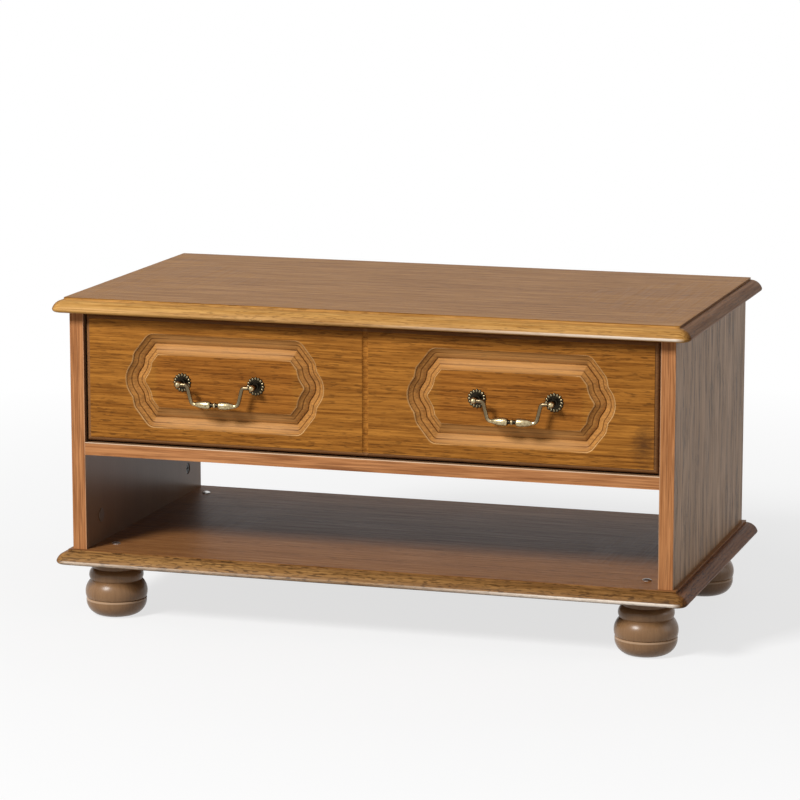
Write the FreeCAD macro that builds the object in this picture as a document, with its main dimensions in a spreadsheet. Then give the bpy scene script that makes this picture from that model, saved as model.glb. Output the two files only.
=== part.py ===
import FreeCAD, Part
import math
import os
from types import SimpleNamespace

import Sketcher

# Coffee table with one wide drawer over an open shelf.
# Millimetres, +Z up, the front faces -Y, the origin on the floor under the middle of the table.

driving_sizes = (
    # carcass
    ("carcass_width", 770),
    ("carcass_depth", 410),
    ("side_thickness", 18),
    ("top_thickness", 18),
    ("base_thickness", 18),
    ("middle_thickness", 16),
    ("back_thickness", 16),
    ("open_bay_height", 121),
    ("drawer_bay_height", 165),
    ("band_thickness", 1),
    # moulded edge of the top and base boards
    ("flat_overhang", 5),
    ("edge_reach", 15),
    ("edge_step", 3),
    ("nose_drop", 14),
    # turned feet, from the top down
    ("foot_height", 72),
    ("foot_inset", 41),
    ("neck_radius", 29),
    ("neck_length", 11.5),
    ("collar_fullness", 0.67),
    ("collar_length", 15.2),
    ("waist_radius", 32.5),
    ("belly_fullness", 0.92),
    ("belly_length", 22),
    ("belly_radius", 38.2),
    ("foot_groove_depth", 1.5),
    ("foot_groove_width", 2),
    ("heel_fullness", 0.73),
    ("sole_radius", 22),
    # foot bolts
    ("foot_bolt_radius", 3),
    ("foot_bolt_head_radius", 5.5),
    ("foot_bolt_head_height", 2.6),
    ("foot_bolt_depth", 30),
    # cam fittings and dowels of the carcass
    ("cam_radius", 7.5),
    ("cam_depth", 12.5),
    ("cam_wall", 1),
    ("cam_sink", 1),
    ("cam_setback", 34),
    ("cam_inset", 49),
    ("cam_recess_length", 9),
    ("cam_recess_width", 1.8),
    ("cam_recess_depth", 1.6),
    ("cam_bolt_radius", 3),
    ("cam_bolt_bite", 11),
    ("cam_bore_radius", 3.5),
    ("cover_radius", 8.5),
    ("cover_height", 1.2),
    ("cover_easing", 0.4),
    ("cover_stem_radius", 2.2),
    ("dowel_radius", 4),
    ("dowel_length", 30),
    ("dowel_bite", 12),
    ("dowel_inset", 100),
    ("face_dowel_depth", 10),
    ("face_dowel_inset", 120),
    ("back_dowel_height", 45),
    # drawer front
    ("front_thickness", 20),
    ("front_recess", 2),
    ("front_side_gap", 2),
    ("front_bottom_gap", 2),
    ("front_top_gap", 2.5),
    ("front_quirk", 0.8),
    ("front_round", 5.5),
    ("flute_half", 4.2),
    ("flute_depth", 2),
    # routed panels of the drawer front, along the valley of the channel
    ("panel_tip", 116.5),
    ("panel_half_height", 46),
    ("tip_round", 17),
    ("tip_turn", 34),
    ("wave_level", 17.3),
    ("wave_round", 15),
    ("wave_turn", 10),
    ("shoulder_level", 28.3),
    ("shoulder_turn", 38),
    ("channel_half", 12),
    ("channel_depth", 9),
    ("channel_quirk", 1.1),
    ("channel_flare", 0.9),
    ("ledge_half", 6.8),
    ("ledge_depth", 4.9),
    ("channel_fullness", 2.5),
    # drawer box
    ("drawer_back_gap", 22),
    ("drawer_side_height", 115),
    ("drawer_side_thickness", 12),
    ("drawer_back_thickness", 12),
    ("bottom_thickness", 4),
    ("bottom_lift", 10),
    ("bottom_groove", 6),
    ("box_dowel_radius", 3),
    ("box_dowel_bite", 8),
    ("box_dowel_length", 24),
    ("box_dowel_low", 32),
    ("box_dowel_high", 92),
    # roller runners
    ("runner_gap", 13),
    ("runner_setback", 2),
    ("rail_lift", 14),
    ("rail_wall", 1.2),
    ("track_headroom", 1.2),
    ("roller_radius", 10),
    ("roller_headroom", 1.7),
    ("roller_inset", 12),
    ("roller_web_gap", 2.3),
    ("track_end_gap", 2.4),
    ("rivet_radius", 2.5),
    ("rivet_head_radius", 3.6),
    ("rivet_head_height", 0.6),
    ("runner_screw_radius", 1.75),
    ("runner_screw_head_radius", 3.6),
    ("runner_screw_head_height", 1.6),
    ("runner_screw_length", 10),
    ("runner_screw_inset", 45),
    # bail handles
    ("handle_shift", 6.5),
    ("handle_centres", 96),
    ("rosette_radius", 10.6),
    ("rosette_thickness", 1.2),
    ("rosette_boss_radius", 5),
    ("rosette_boss_height", 2.2),
    ("petal_length", 5.2),
    ("petal_width", 3.5),
    ("petal_height", 1.7),
    ("petal_circle", 9.4),
    ("post_foot_radius", 4.4),
    ("post_foot_height", 1),
    ("post_neck_radius", 3.3),
    ("post_neck_length", 7),
    ("post_waist_radius", 2.1),
    ("ball_radius", 3.8),
    ("ball_reach", 16),
    ("pin_radius", 1.2),
    ("pin_depth", 3),
    ("arm_radius", 2.4),
    ("arm_lead", 4.4),
    ("arm_turn", 76),
    ("upper_bend", 4.5),
    ("lower_bend", 6),
    ("bail_drop", 23.6),
    ("bulb_radius", 5.2),
    ("bulb_peak", 7.4),
    ("bulb_inner", 5),
    ("bulb_fullness", 2),
    ("grip_neck_radius", 2.6),
    ("grip_bead_half", 1.7),
    ("grip_bead_fullness", 0.53),
    ("handle_screw_radius", 2),
    ("handle_screw_head_radius", 4),
    ("handle_screw_head_height", 2.4),
    ("handle_screw_bite", 6),
    # clearances
    ("fit_gap", 0.05),
    ("hole_gap", 0.3),
    ("end_gap", 0.5),
    ("running_gap", 0.06),
    ("rolling_gap", 0.3),
    ("groove_gap", 0.1),
)

petal_count = 16
head_rim_share = 0.4
drawer_runner_screws = 3
cabinet_runner_screws = 3

doc = FreeCAD.newDocument("coffee_table")
sheet = doc.addObject("Spreadsheet::Sheet", "Sizes")
for row, (name, number) in enumerate(driving_sizes, start=1):
    sheet.set(f"A{row}", name)
    sheet.set(f"B{row}", str(number))
    sheet.setAlias(f"B{row}", name)
doc.recompute()


class Size:
    """A size with its value and the sheet formula that it comes from."""

    def __init__(self, value, text):
        self.value = float(value)
        self.text = text

    def __add__(self, other):
        other = as_size(other)
        return Size(self.value + other.value, f"({self.text} + {other.text})")

    def __sub__(self, other):
        other = as_size(other)
        return Size(self.value - other.value, f"({self.text} - {other.text})")

    def __mul__(self, other):
        other = as_size(other)
        return Size(self.value * other.value, f"({self.text} * {other.text})")

    def __truediv__(self, other):
        other = as_size(other)
        return Size(self.value / other.value, f"({self.text} / {other.text})")

    def __neg__(self):
        return Size(-self.value, f"(0 - {self.text})")

    __radd__ = __add__
    __rmul__ = __mul__

    def __rsub__(self, other):
        return as_size(other) - self


def as_size(item):
    """A plain number as a Size."""
    if isinstance(item, Size):
        return item
    return Size(item, f"({float(item)})")


def sine(angle):
    return Size(math.sin(math.radians(angle.value)), f"sin({angle.text} * 1 deg)")


def cosine(angle):
    return Size(math.cos(math.radians(angle.value)), f"cos({angle.text} * 1 deg)")


def root(amount):
    return Size(math.sqrt(amount.value), f"sqrt({amount.text})")


def full_round(run, rise, fullness):
    """Radius of an arc as a share of its chord; the smaller the share, the rounder the arc."""
    return root(run * run + rise * rise) * fullness


def round_over(run, rise):
    """Radius of the arc that starts along run and climbs rise over it."""
    return (run * run + rise * rise) / (rise * 2)


s = SimpleNamespace(**{name: Size(sheet.get(name), f"Sizes.{name}") for name, _ in driving_sizes})
sub_parts = []
headings = {
    "+x": FreeCAD.Rotation(FreeCAD.Vector(0, 1, 0), 90),
    "-x": FreeCAD.Rotation(FreeCAD.Vector(0, 1, 0), -90),
    "+y": FreeCAD.Rotation(FreeCAD.Vector(1, 0, 0), -90),
    "-y": FreeCAD.Rotation(FreeCAD.Vector(1, 0, 0), 90),
    "+z": FreeCAD.Rotation(),
    "-z": FreeCAD.Rotation(FreeCAD.Vector(1, 0, 0), 180),
}
side_names = {-1: "left", 1: "right"}
end_names = {-1: "front", 1: "back"}


# Helpers that tie objects to the sheet

def bind(item, path, amount):
    item.setExpression(path, as_size(amount).text)


def place(item, point, heading="+z"):
    item.Placement = FreeCAD.Placement(FreeCAD.Vector(), headings[heading])
    for letter, amount in zip("xyz", point):
        bind(item, f"Placement.Base.{letter}", amount)


def keep(item, label):
    """Marks an object as a sub-part under its own label."""
    item.Label = label
    sub_parts.append(item)
    return item


def block(name, low, high):
    item = doc.addObject("Part::Box", name)
    for prop, start, stop in zip(("Length", "Width", "Height"), low, high):
        bind(item, prop, as_size(stop) - start)
    place(item, low)
    return item


def rod(name, radius, start, heading, length):
    item = doc.addObject("Part::Cylinder", name)
    bind(item, "Radius", radius)
    bind(item, "Height", length)
    place(item, start, heading)
    return item


def joined(name, items):
    if len(items) == 1:
        return items[0]
    item = doc.addObject("Part::MultiFuse", name)
    item.Shapes = items
    return item


def cut(name, base, tools):
    item = doc.addObject("Part::Cut", name)
    item.Base = base
    item.Tool = joined(f"{name}_cuts", tools)
    return item


def group(name, items):
    """Separate solids that share one node."""
    item = doc.addObject("Part::Compound", name)
    item.Links = items
    return item


def origin_of(body, role):
    return next(item for item in body.Origin.OriginFeatures if item.Role == role)


def sketch_on(body, name, plane, shift=(0, 0, 0)):
    sketch = body.newObject("Sketcher::SketchObject", name)
    sketch.AttachmentSupport = (origin_of(body, plane), [""])
    sketch.MapMode = "FlatFace"
    for letter, amount in zip("xyz", shift):
        bind(sketch, f"AttachmentOffset.Base.{letter}", amount)
    return sketch


def arc_between(start, stop, radius, turn):
    """The shorter arc from start to stop, whose centre lies left or right of the way."""
    chord = stop - start
    rise = math.sqrt(max(radius ** 2 - (chord.Length / 2) ** 2, 0))
    across = FreeCAD.Vector(-chord.y, chord.x, 0).normalize()
    middle = (start + stop) * 0.5
    centre = middle + across * (rise if turn == "left" else -rise)
    first, last = (start, stop) if turn == "left" else (stop, start)
    begin = math.atan2(first.y - centre.y, first.x - centre.x)
    end = math.atan2(last.y - centre.y, last.x - centre.x)
    circle = Part.Circle(centre, FreeCAD.Vector(0, 0, 1), radius)
    return Part.ArcOfCircle(circle, begin, end if end > begin else end + 2 * math.pi)


def draw(sketch, corners, rounds=None, closed=True):
    """Draws straight sides and arcs through the corners and ties every corner to the sheet."""
    rounds = rounds or {}
    corners = [(as_size(across), as_size(up)) for across, up in corners]
    spots = [FreeCAD.Vector(across.value, up.value, 0) for across, up in corners]
    sides = len(corners) if closed else len(corners) - 1
    ends = []
    for side in range(sides):
        start, stop = spots[side], spots[(side + 1) % len(spots)]
        if side in rounds:
            radius, turn = rounds[side]
            sketch.addGeometry(arc_between(start, stop, as_size(radius).value, turn), False)
            ends.append((1, 2) if turn == "left" else (2, 1))
        else:
            sketch.addGeometry(Part.LineSegment(start, stop), False)
            ends.append((1, 2))
    for side in range(sides if closed else sides - 1):
        following = (side + 1) % sides
        link = Sketcher.Constraint("Coincident", side, ends[side][1], following, ends[following][0])
        sketch.addConstraint(link)
    for number, (across, up) in enumerate(corners):
        side, end = (number, ends[number][0]) if number < sides else (sides - 1, ends[-1][1])
        for kind, amount in (("DistanceX", across), ("DistanceY", up)):
            tie = sketch.addConstraint(Sketcher.Constraint(kind, -1, 1, side, end, amount.value))
            bind(sketch, f"Constraints[{tie}]", amount)
    for side, (radius, turn) in rounds.items():
        tie = sketch.addConstraint(Sketcher.Constraint("Radius", side, as_size(radius).value))
        bind(sketch, f"Constraints[{tie}]", radius)
    return sketch


def pad(body, name, sketch, length, both_ways=True):
    feature = body.newObject("PartDesign::Pad", name)
    feature.Profile = sketch
    feature.SideType = "Symmetric" if both_ways else "One side"
    bind(feature, "Length", length)
    return feature


def turned(body, name, sketch, axis="V_Axis"):
    feature = body.newObject("PartDesign::Revolution", name)
    feature.Profile = sketch
    feature.ReferenceAxis = (sketch, [axis])
    feature.Angle = 360
    return feature


def fastener(name, head, shank, point, heading, tip=0, easing=None):
    """A head on a plain shank, domed or flat with an eased rim; the heading is the way the head faces."""
    head_radius, head_height = head
    shank_radius, shank_length = shank
    body = doc.addObject("PartDesign::Body", name)
    sketch = sketch_on(body, f"{name}_outline", "XZ_Plane")
    corners = [
        (0, -shank_length),
        (shank_radius, tip - shank_length),
        (shank_radius, 0),
        (head_radius, 0),
    ]
    rounds = {}
    if easing is None:
        rim = head_height * head_rim_share
        rounds[len(corners)] = (round_over(head_radius, head_height - rim), "left")
        corners.append((head_radius, rim))
    else:
        corners.append((head_radius, head_height - easing))
        corners.append((head_radius - easing, head_height))
    corners.append((0, head_height))
    draw(sketch, corners, rounds)
    turned(body, f"{name}_turned", sketch)
    place(body, point, heading)
    return body


# Levels and planes that several pieces share

base_low = s.foot_height
base_top = base_low + s.base_thickness
middle_low = base_top + s.open_bay_height
middle_top = middle_low + s.middle_thickness
top_low = middle_top + s.drawer_bay_height
half_width = s.carcass_width / 2
bay_half = half_width - s.side_thickness
front_plane = -s.carcass_depth / 2
back_plane = s.carcass_depth / 2
board_front = front_plane + s.band_thickness
panel_middle = bay_half + s.side_thickness / 2
foot_across = half_width - s.foot_inset
foot_deep = back_plane - s.foot_inset
cam_deep = back_plane - s.cam_inset
dowel_deep = back_plane - s.dowel_inset
face_dowel_deep = back_plane - s.face_dowel_inset
back_middle = back_plane - s.back_thickness / 2
middle_centre = middle_low + s.middle_thickness / 2
back_dowel_levels = (middle_top + s.back_dowel_height, top_low - s.back_dowel_height)
side_cam_depth = s.side_thickness / 2 + s.cam_bore_radius + s.cam_wall
cam_bolt_hole = s.cam_bolt_radius + s.fit_gap
dowel_hole = s.dowel_radius + s.fit_gap
box_dowel_hole = s.box_dowel_radius + s.fit_gap

front_left = s.front_side_gap - bay_half
front_right = bay_half - s.front_side_gap
front_low = middle_top + s.front_bottom_gap
front_high = top_low - s.front_top_gap
front_middle = (front_low + front_high) / 2
front_face = front_plane + s.front_recess
front_back = front_face + s.front_thickness
drawer_half = bay_half - s.runner_gap
drawer_inner = drawer_half - s.drawer_side_thickness
drawer_rear = back_plane - s.back_thickness - s.drawer_back_gap
drawer_depth = drawer_rear - front_back
rail_low = middle_top + s.rail_lift
drawer_low = rail_low - s.rail_wall
bottom_low = drawer_low + s.bottom_lift
bottom_high = bottom_low + s.bottom_thickness
drawer_high = drawer_low + s.drawer_side_height


# Moulded boards

def moulded_board(name, thickness, low):
    """A flat board whose four edges step down and roll out to a nose, with round corners."""
    across = half_width + s.flat_overhang
    deep = back_plane + s.flat_overhang
    nose = thickness - s.nose_drop
    shoulder = thickness - s.edge_step
    roll = round_over(s.edge_reach, s.nose_drop - s.edge_step)
    body = doc.addObject("PartDesign::Body", name)
    for plane, reach, length in (("YZ_Plane", deep, across * 2), ("XZ_Plane", across, deep * 2)):
        tip = reach + s.edge_reach
        corners = [
            (nose - tip, 0),
            (tip - nose, 0),
            (tip, nose),
            (reach, shoulder),
            (reach, thickness),
            (-reach, thickness),
            (-reach, shoulder),
            (-tip, nose),
        ]
        rounds = {1: (nose, "left"), 2: (roll, "left"), 6: (roll, "left"), 7: (nose, "left")}
        sketch = draw(sketch_on(body, f"{name}_{plane}", plane), corners, rounds)
        pad(body, f"{name}_pad_{plane}", sketch, length)
    for side in side_names:
        for end in end_names:
            corner = f"{name}_corner_{end_names[end]}_{side_names[side]}"
            sketch = sketch_on(body, corner, "XZ_Plane", (across * side, 0, deep * -end))
            corners = [
                (0, 0),
                (s.edge_reach - nose, 0),
                (s.edge_reach, nose),
                (0, shoulder),
            ]
            draw(sketch, corners, {1: (nose, "left"), 2: (roll, "left")})
            turned(body, f"{corner}_turned", sketch)
    place(body, (0, 0, low))
    return body


def seat_holes(name, level, heading):
    """Cam bolt and dowel holes of a board that the side panels meet on edge."""
    holes = []
    for side in side_names:
        for end in end_names:
            tag = f"{name}_{end_names[end]}_{side_names[side]}"
            spot = (panel_middle * side, cam_deep * end, level)
            holes.append(rod(f"{tag}_bolt_hole", cam_bolt_hole, spot, heading, s.cam_bolt_bite + s.end_gap))
            spot = (panel_middle * side, dowel_deep * end, level)
            holes.append(rod(f"{tag}_dowel_hole", dowel_hole, spot, heading, s.dowel_bite + s.end_gap))
    return holes


top_blank = moulded_board("top_blank", s.top_thickness, top_low)
keep(cut("top_cut", top_blank, seat_holes("top", top_low, "+z")), "top_board")

base_blank = moulded_board("base_blank", s.base_thickness, base_low)
base_holes = seat_holes("base", base_top, "-z")
for side in side_names:
    for end in end_names:
        tag = f"base_foot_hole_{end_names[end]}_{side_names[side]}"
        spot = (foot_across * side, foot_deep * end, base_low)
        base_holes.append(rod(tag, s.foot_bolt_radius + s.hole_gap, spot, "+z", s.base_thickness))
keep(cut("base_cut", base_blank, base_holes), "base_board")


# Turned feet and their bolts

def foot_outline(body, name):
    waist_level = s.foot_height - s.neck_length - s.collar_length
    groove_level = waist_level - s.belly_length
    groove_half = s.foot_groove_width / 2
    corners = [
        (0, s.foot_height),
        (0, 0),
        (s.sole_radius, 0),
        (s.belly_radius, groove_level - s.foot_groove_width),
        (s.belly_radius - s.foot_groove_depth, groove_level - groove_half),
        (s.belly_radius, groove_level),
        (s.waist_radius, waist_level),
        (s.neck_radius, s.foot_height - s.neck_length),
        (s.neck_radius, s.foot_height),
    ]
    heel_level = groove_level - s.foot_groove_width
    heel = full_round(s.belly_radius - s.sole_radius, heel_level, s.heel_fullness)
    belly = full_round(s.belly_radius - s.waist_radius, s.belly_length, s.belly_fullness)
    collar = full_round(s.waist_radius - s.neck_radius, s.collar_length, s.collar_fullness)
    rounds = {2: (heel, "left"), 5: (belly, "left"), 6: (collar, "left")}
    return draw(sketch_on(body, f"{name}_outline", "XZ_Plane"), corners, rounds)


foot_bolts = []
for side in side_names:
    for end in end_names:
        tag = f"{end_names[end]}_{side_names[side]}"
        spot = (foot_across * side, foot_deep * end, 0)
        foot = doc.addObject("PartDesign::Body", f"foot_blank_{tag}")
        turned(foot, f"foot_turned_{tag}", foot_outline(foot, f"foot_{tag}"))
        place(foot, spot)
        bore_top = (spot[0], spot[1], s.foot_height)
        bore = rod(f"foot_bore_{tag}", s.foot_bolt_radius + s.fit_gap, bore_top, "-z",
                   s.foot_bolt_depth + s.end_gap)
        keep(cut(f"foot_cut_{tag}", foot, [bore]), f"foot_{tag}")
        foot_bolts.append(fastener(
            f"foot_bolt_{tag}", (s.foot_bolt_head_radius, s.foot_bolt_head_height),
            (s.foot_bolt_radius, s.base_thickness + s.foot_bolt_depth),
            (spot[0], spot[1], base_top), "+z"))
keep(group("foot_bolt_group", foot_bolts), "foot_bolts")


# Side panels, their edge bands and the fittings that hold them

rail_floor = rail_low + s.rail_wall
rail_roof = rail_floor + s.rolling_gap + s.roller_radius * 2 + s.roller_headroom
rail_middle = (rail_floor + rail_roof) / 2
pilot_depth = s.runner_screw_length - s.rail_wall + s.end_gap
rail_front = front_back + s.runner_setback
rail_length = drawer_depth
rail_back = rail_front + rail_length


def spread(start, stop, count):
    """Places from start to stop at equal steps."""
    return [start + (stop - start) * (step / (count - 1)) for step in range(count)]


rail_screw_spots = spread(rail_front + s.runner_screw_inset, rail_back - s.runner_screw_inset,
                          cabinet_runner_screws)


def outward(side):
    return "+x" if side > 0 else "-x"


def inward(side):
    return "-x" if side > 0 else "+x"


def cam(name, face, into, bolt_from, bolt_heading, depth):
    """A round cam sunk under the face, bored for its bolt, with a cross recess for the driver."""
    body = rod(f"{name}_disc", s.cam_radius, face, into, depth - s.cam_sink)
    bore = rod(f"{name}_bore", s.cam_bore_radius, bolt_from, bolt_heading, s.cam_setback)
    recess = []
    for turn in ("long", "cross"):
        half_long, half_short = s.cam_recess_length / 2, s.cam_recess_width / 2
        wide, tall = (half_long, half_short) if turn == "long" else (half_short, half_long)
        if into == "+z":
            low = (face[0] - wide, face[1] - tall, face[2])
            high = (face[0] + wide, face[1] + tall, face[2] + s.cam_recess_depth)
        else:
            inner = face[0] if into == "+x" else face[0] - s.cam_recess_depth
            low = (inner, face[1] - wide, face[2] - tall)
            high = (inner + s.cam_recess_depth, face[1] + wide, face[2] + tall)
        recess.append(block(f"{name}_recess_{turn}", low, high))
    return cut(f"{name}_cut", body, [bore] + recess)


lower_cams, lower_bolts, upper_cams, upper_bolts = [], [], [], []
middle_cams, middle_bolts, cam_covers, carcass_dowels = [], [], [], []
bolt_length = s.cam_setback + s.cam_bolt_bite

for side in side_names:
    wall = side_names[side]
    inner_face = bay_half * side
    outer_face = half_width * side
    low_x, high_x = (inner_face, outer_face) if side > 0 else (outer_face, inner_face)
    panel = block(f"panel_{wall}", (low_x, board_front, base_top), (high_x, back_plane, top_low))
    band = block(f"band_{wall}", (low_x, front_plane, base_top), (high_x, board_front, top_low))
    keep(band, f"edge_band_{wall}")
    holes = []
    for end in end_names:
        tag = f"{end_names[end]}_{wall}"
        cam_y = cam_deep * end
        centre_x = panel_middle * side
        sunk_x = inner_face + s.cam_sink * side
        for level, heading, cams, bolts, place_name in (
                (base_top, "+z", lower_cams, lower_bolts, "lower"),
                (top_low, "-z", upper_cams, upper_bolts, "upper")):
            lift = s.cam_setback if heading == "+z" else -s.cam_setback
            spot = (inner_face, cam_y, level + lift)
            edge = (centre_x, cam_y, level)
            name = f"{place_name}_{tag}"
            holes.append(rod(f"{name}_pocket", s.cam_radius + s.fit_gap, spot, outward(side),
                             side_cam_depth + s.fit_gap))
            holes.append(rod(f"{name}_bolt_bore", s.cam_bore_radius, edge, heading, s.cam_setback))
            sunk = (sunk_x, cam_y, level + lift)
            cams.append(cam(f"{name}_cam", sunk, outward(side), edge, heading, side_cam_depth))
            bite = s.cam_bolt_bite if heading == "+z" else -s.cam_bolt_bite
            bolts.append(rod(f"{name}_bolt", s.cam_bolt_radius, (centre_x, cam_y, level - bite), heading,
                             bolt_length))
            dowel_bite = s.dowel_bite if heading == "+z" else -s.dowel_bite
            seat = (centre_x, dowel_deep * end, level)
            holes.append(rod(f"{name}_dowel_hole", dowel_hole, seat, heading,
                             s.dowel_length - s.dowel_bite + s.end_gap))
            dowel_start = (centre_x, dowel_deep * end, level - dowel_bite)
            carcass_dowels.append(rod(f"{name}_dowel", s.dowel_radius, dowel_start, heading, s.dowel_length))
        bolt_face = (inner_face, cam_y, middle_centre)
        holes.append(rod(f"middle_{tag}_bolt_hole", cam_bolt_hole, bolt_face, outward(side),
                         s.cam_bolt_bite + s.end_gap))
        middle_bolts.append(rod(f"middle_{tag}_bolt", s.cam_bolt_radius,
                                (inner_face + s.cam_bolt_bite * side, cam_y, middle_centre),
                                inward(side), bolt_length))
        middle_cams.append(cam(f"middle_{tag}_cam",
                               (inner_face - s.cam_setback * side, cam_y, middle_low + s.cam_sink), "+z",
                               bolt_face, inward(side), s.cam_depth))
    face_dowels = [(face_dowel_deep * end, middle_centre) for end in end_names]
    face_dowels += [(back_middle, level) for level in back_dowel_levels]
    for number, (dowel_y, dowel_z) in enumerate(face_dowels):
        name = f"face_{wall}_{number}"
        seat = (inner_face, dowel_y, dowel_z)
        holes.append(rod(f"{name}_hole", dowel_hole, seat, outward(side), s.face_dowel_depth + s.end_gap))
        carcass_dowels.append(rod(f"{name}_dowel", s.dowel_radius,
                                  (inner_face + s.face_dowel_depth * side, dowel_y, dowel_z), inward(side),
                                  s.dowel_length))
    for number, screw_y in enumerate(rail_screw_spots):
        holes.append(rod(f"rail_pilot_{wall}_{number}", s.runner_screw_radius + s.fit_gap,
                         (inner_face, screw_y, rail_middle), outward(side), pilot_depth))
    keep(cut(f"panel_cut_{wall}", panel, holes), f"side_panel_{wall}")
    cover_spot = (inner_face, -cam_deep, base_top + s.cam_setback)
    cam_covers.append(fastener(f"cover_{wall}", (s.cover_radius, s.cover_height),
                               (s.cover_stem_radius, s.cam_sink), cover_spot, inward(side),
                               easing=s.cover_easing))

keep(group("lower_cam_group", lower_cams), "lower_cams")
keep(group("lower_bolt_group", lower_bolts), "lower_cam_bolts")
keep(group("upper_cam_group", upper_cams), "upper_cams")
keep(group("upper_bolt_group", upper_bolts), "upper_cam_bolts")
keep(group("middle_cam_group", middle_cams), "middle_cams")
keep(group("middle_bolt_group", middle_bolts), "middle_cam_bolts")
keep(group("cover_group", cam_covers), "cam_covers")
keep(group("dowel_group", carcass_dowels), "carcass_dowels")


# Middle board under the drawer, its edge band, and the board behind the drawer

board_dowel = s.dowel_length - s.face_dowel_depth
middle_holes, back_holes = [], []
for side in side_names:
    wall = side_names[side]
    end_x = bay_half * side
    for end in end_names:
        tag = f"{end_names[end]}_{wall}"
        middle_holes.append(rod(f"board_{tag}_bolt_bore", s.cam_bore_radius,
                                (end_x, cam_deep * end, middle_centre), inward(side), s.cam_setback))
        middle_holes.append(rod(f"board_{tag}_pocket", s.cam_radius + s.fit_gap,
                                (end_x - s.cam_setback * side, cam_deep * end, middle_low), "+z",
                                s.cam_depth + s.fit_gap))
        middle_holes.append(rod(f"board_{tag}_dowel_hole", dowel_hole,
                                (end_x, face_dowel_deep * end, middle_centre), inward(side),
                                board_dowel + s.end_gap))
    for number, level in enumerate(back_dowel_levels):
        back_holes.append(rod(f"back_{wall}_{number}_dowel_hole", dowel_hole,
                              (end_x, back_middle, level), inward(side), board_dowel + s.end_gap))

middle_blank = block("middle_blank", (-bay_half, board_front, middle_low), (bay_half, back_plane, middle_top))
keep(cut("middle_cut", middle_blank, middle_holes), "middle_board")
middle_band = block("middle_band", (-bay_half, front_plane, middle_low), (bay_half, board_front, middle_top))
keep(middle_band, "edge_band_middle")
back_blank = block("back_blank", (-bay_half, back_plane - s.back_thickness, middle_top),
                   (bay_half, back_plane, top_low))
keep(cut("back_cut", back_blank, back_holes), "back_board")


# Drawer front: a blank with a rounded edge, two routed panels and a flute between them

def edge_profile(body, name, plane, low, high):
    """Section of the blank: the face steps back and rolls over at both edges."""
    inset = s.front_round
    face = 0
    step = -s.front_quirk
    back = -s.front_thickness
    shoulder = step - s.front_round
    corners = [
        (low, back),
        (high, back),
        (high, shoulder),
        (high - inset, step),
        (high - inset, face),
        (low + inset, face),
        (low + inset, step),
        (low, shoulder),
    ]
    rounds = {2: (s.front_round, "left"), 6: (s.front_round, "left")}
    return draw(sketch_on(body, name, plane), corners, rounds)


front_width = front_right - front_left
front_height = front_high - front_low
long_way = doc.addObject("PartDesign::Body", "front_long_way")
pad(long_way, "front_long_pad",
    edge_profile(long_way, "front_long_section", "XZ_Plane", -front_width / 2, front_width / 2), front_height)
short_way = doc.addObject("PartDesign::Body", "front_short_way")
pad(short_way, "front_short_pad",
    edge_profile(short_way, "front_short_section", "YZ_Plane", -front_height / 2, front_height / 2),
    front_width)
for body in (long_way, short_way):
    place(body, (0, front_face, front_middle), "-y")
front_blank = doc.addObject("Part::Common", "front_blank")
front_blank.Base = long_way
front_blank.Tool = short_way


def channel_section(half_only=False):
    """Section of the routed channel across its valley; the depth runs along +Y."""
    half, quirk, depth = s.channel_half.value, s.channel_quirk.value, s.channel_depth.value
    ledge = FreeCAD.Vector(s.ledge_half.value, s.ledge_depth.value, 0)
    clear = -s.channel_quirk.value
    brim = half + s.channel_flare.value * 2
    rim = FreeCAD.Vector(half, quirk, 0)
    valley = FreeCAD.Vector(0, depth, 0)
    cove_round = full_round(s.channel_half - s.ledge_half, s.ledge_depth - s.channel_quirk,
                            s.channel_fullness)
    bead_round = full_round(s.ledge_half, s.channel_depth - s.ledge_depth, s.channel_fullness)
    cove = arc_between(rim, ledge, cove_round.value, "left").toShape()
    bead = arc_between(ledge, valley, bead_round.value, "right").toShape()
    lip = Part.makeLine(FreeCAD.Vector(brim, clear, 0), rim)
    edges = [lip, cove, bead]
    if half_only:
        edges.append(Part.makeLine(valley, FreeCAD.Vector(0, clear, 0)))
        edges.append(Part.makeLine(FreeCAD.Vector(0, clear, 0), FreeCAD.Vector(brim, clear, 0)))
    else:
        edges += [edge.mirror(FreeCAD.Vector(), FreeCAD.Vector(1, 0, 0)) for edge in (bead, cove, lip)]
        edges.append(Part.makeLine(FreeCAD.Vector(-brim, clear, 0), FreeCAD.Vector(brim, clear, 0)))
    return Part.Face(Part.Wire(Part.__sortEdges__(edges)))


def aimed(section, point, bearing):
    """Stands a section at a point of the valley; bearing turns its +X side from +X towards +Z."""
    stood = section.copy()
    stood.Placement = FreeCAD.Placement(point, FreeCAD.Rotation(FreeCAD.Vector(0, 1, 0), -bearing))
    return stood


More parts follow.
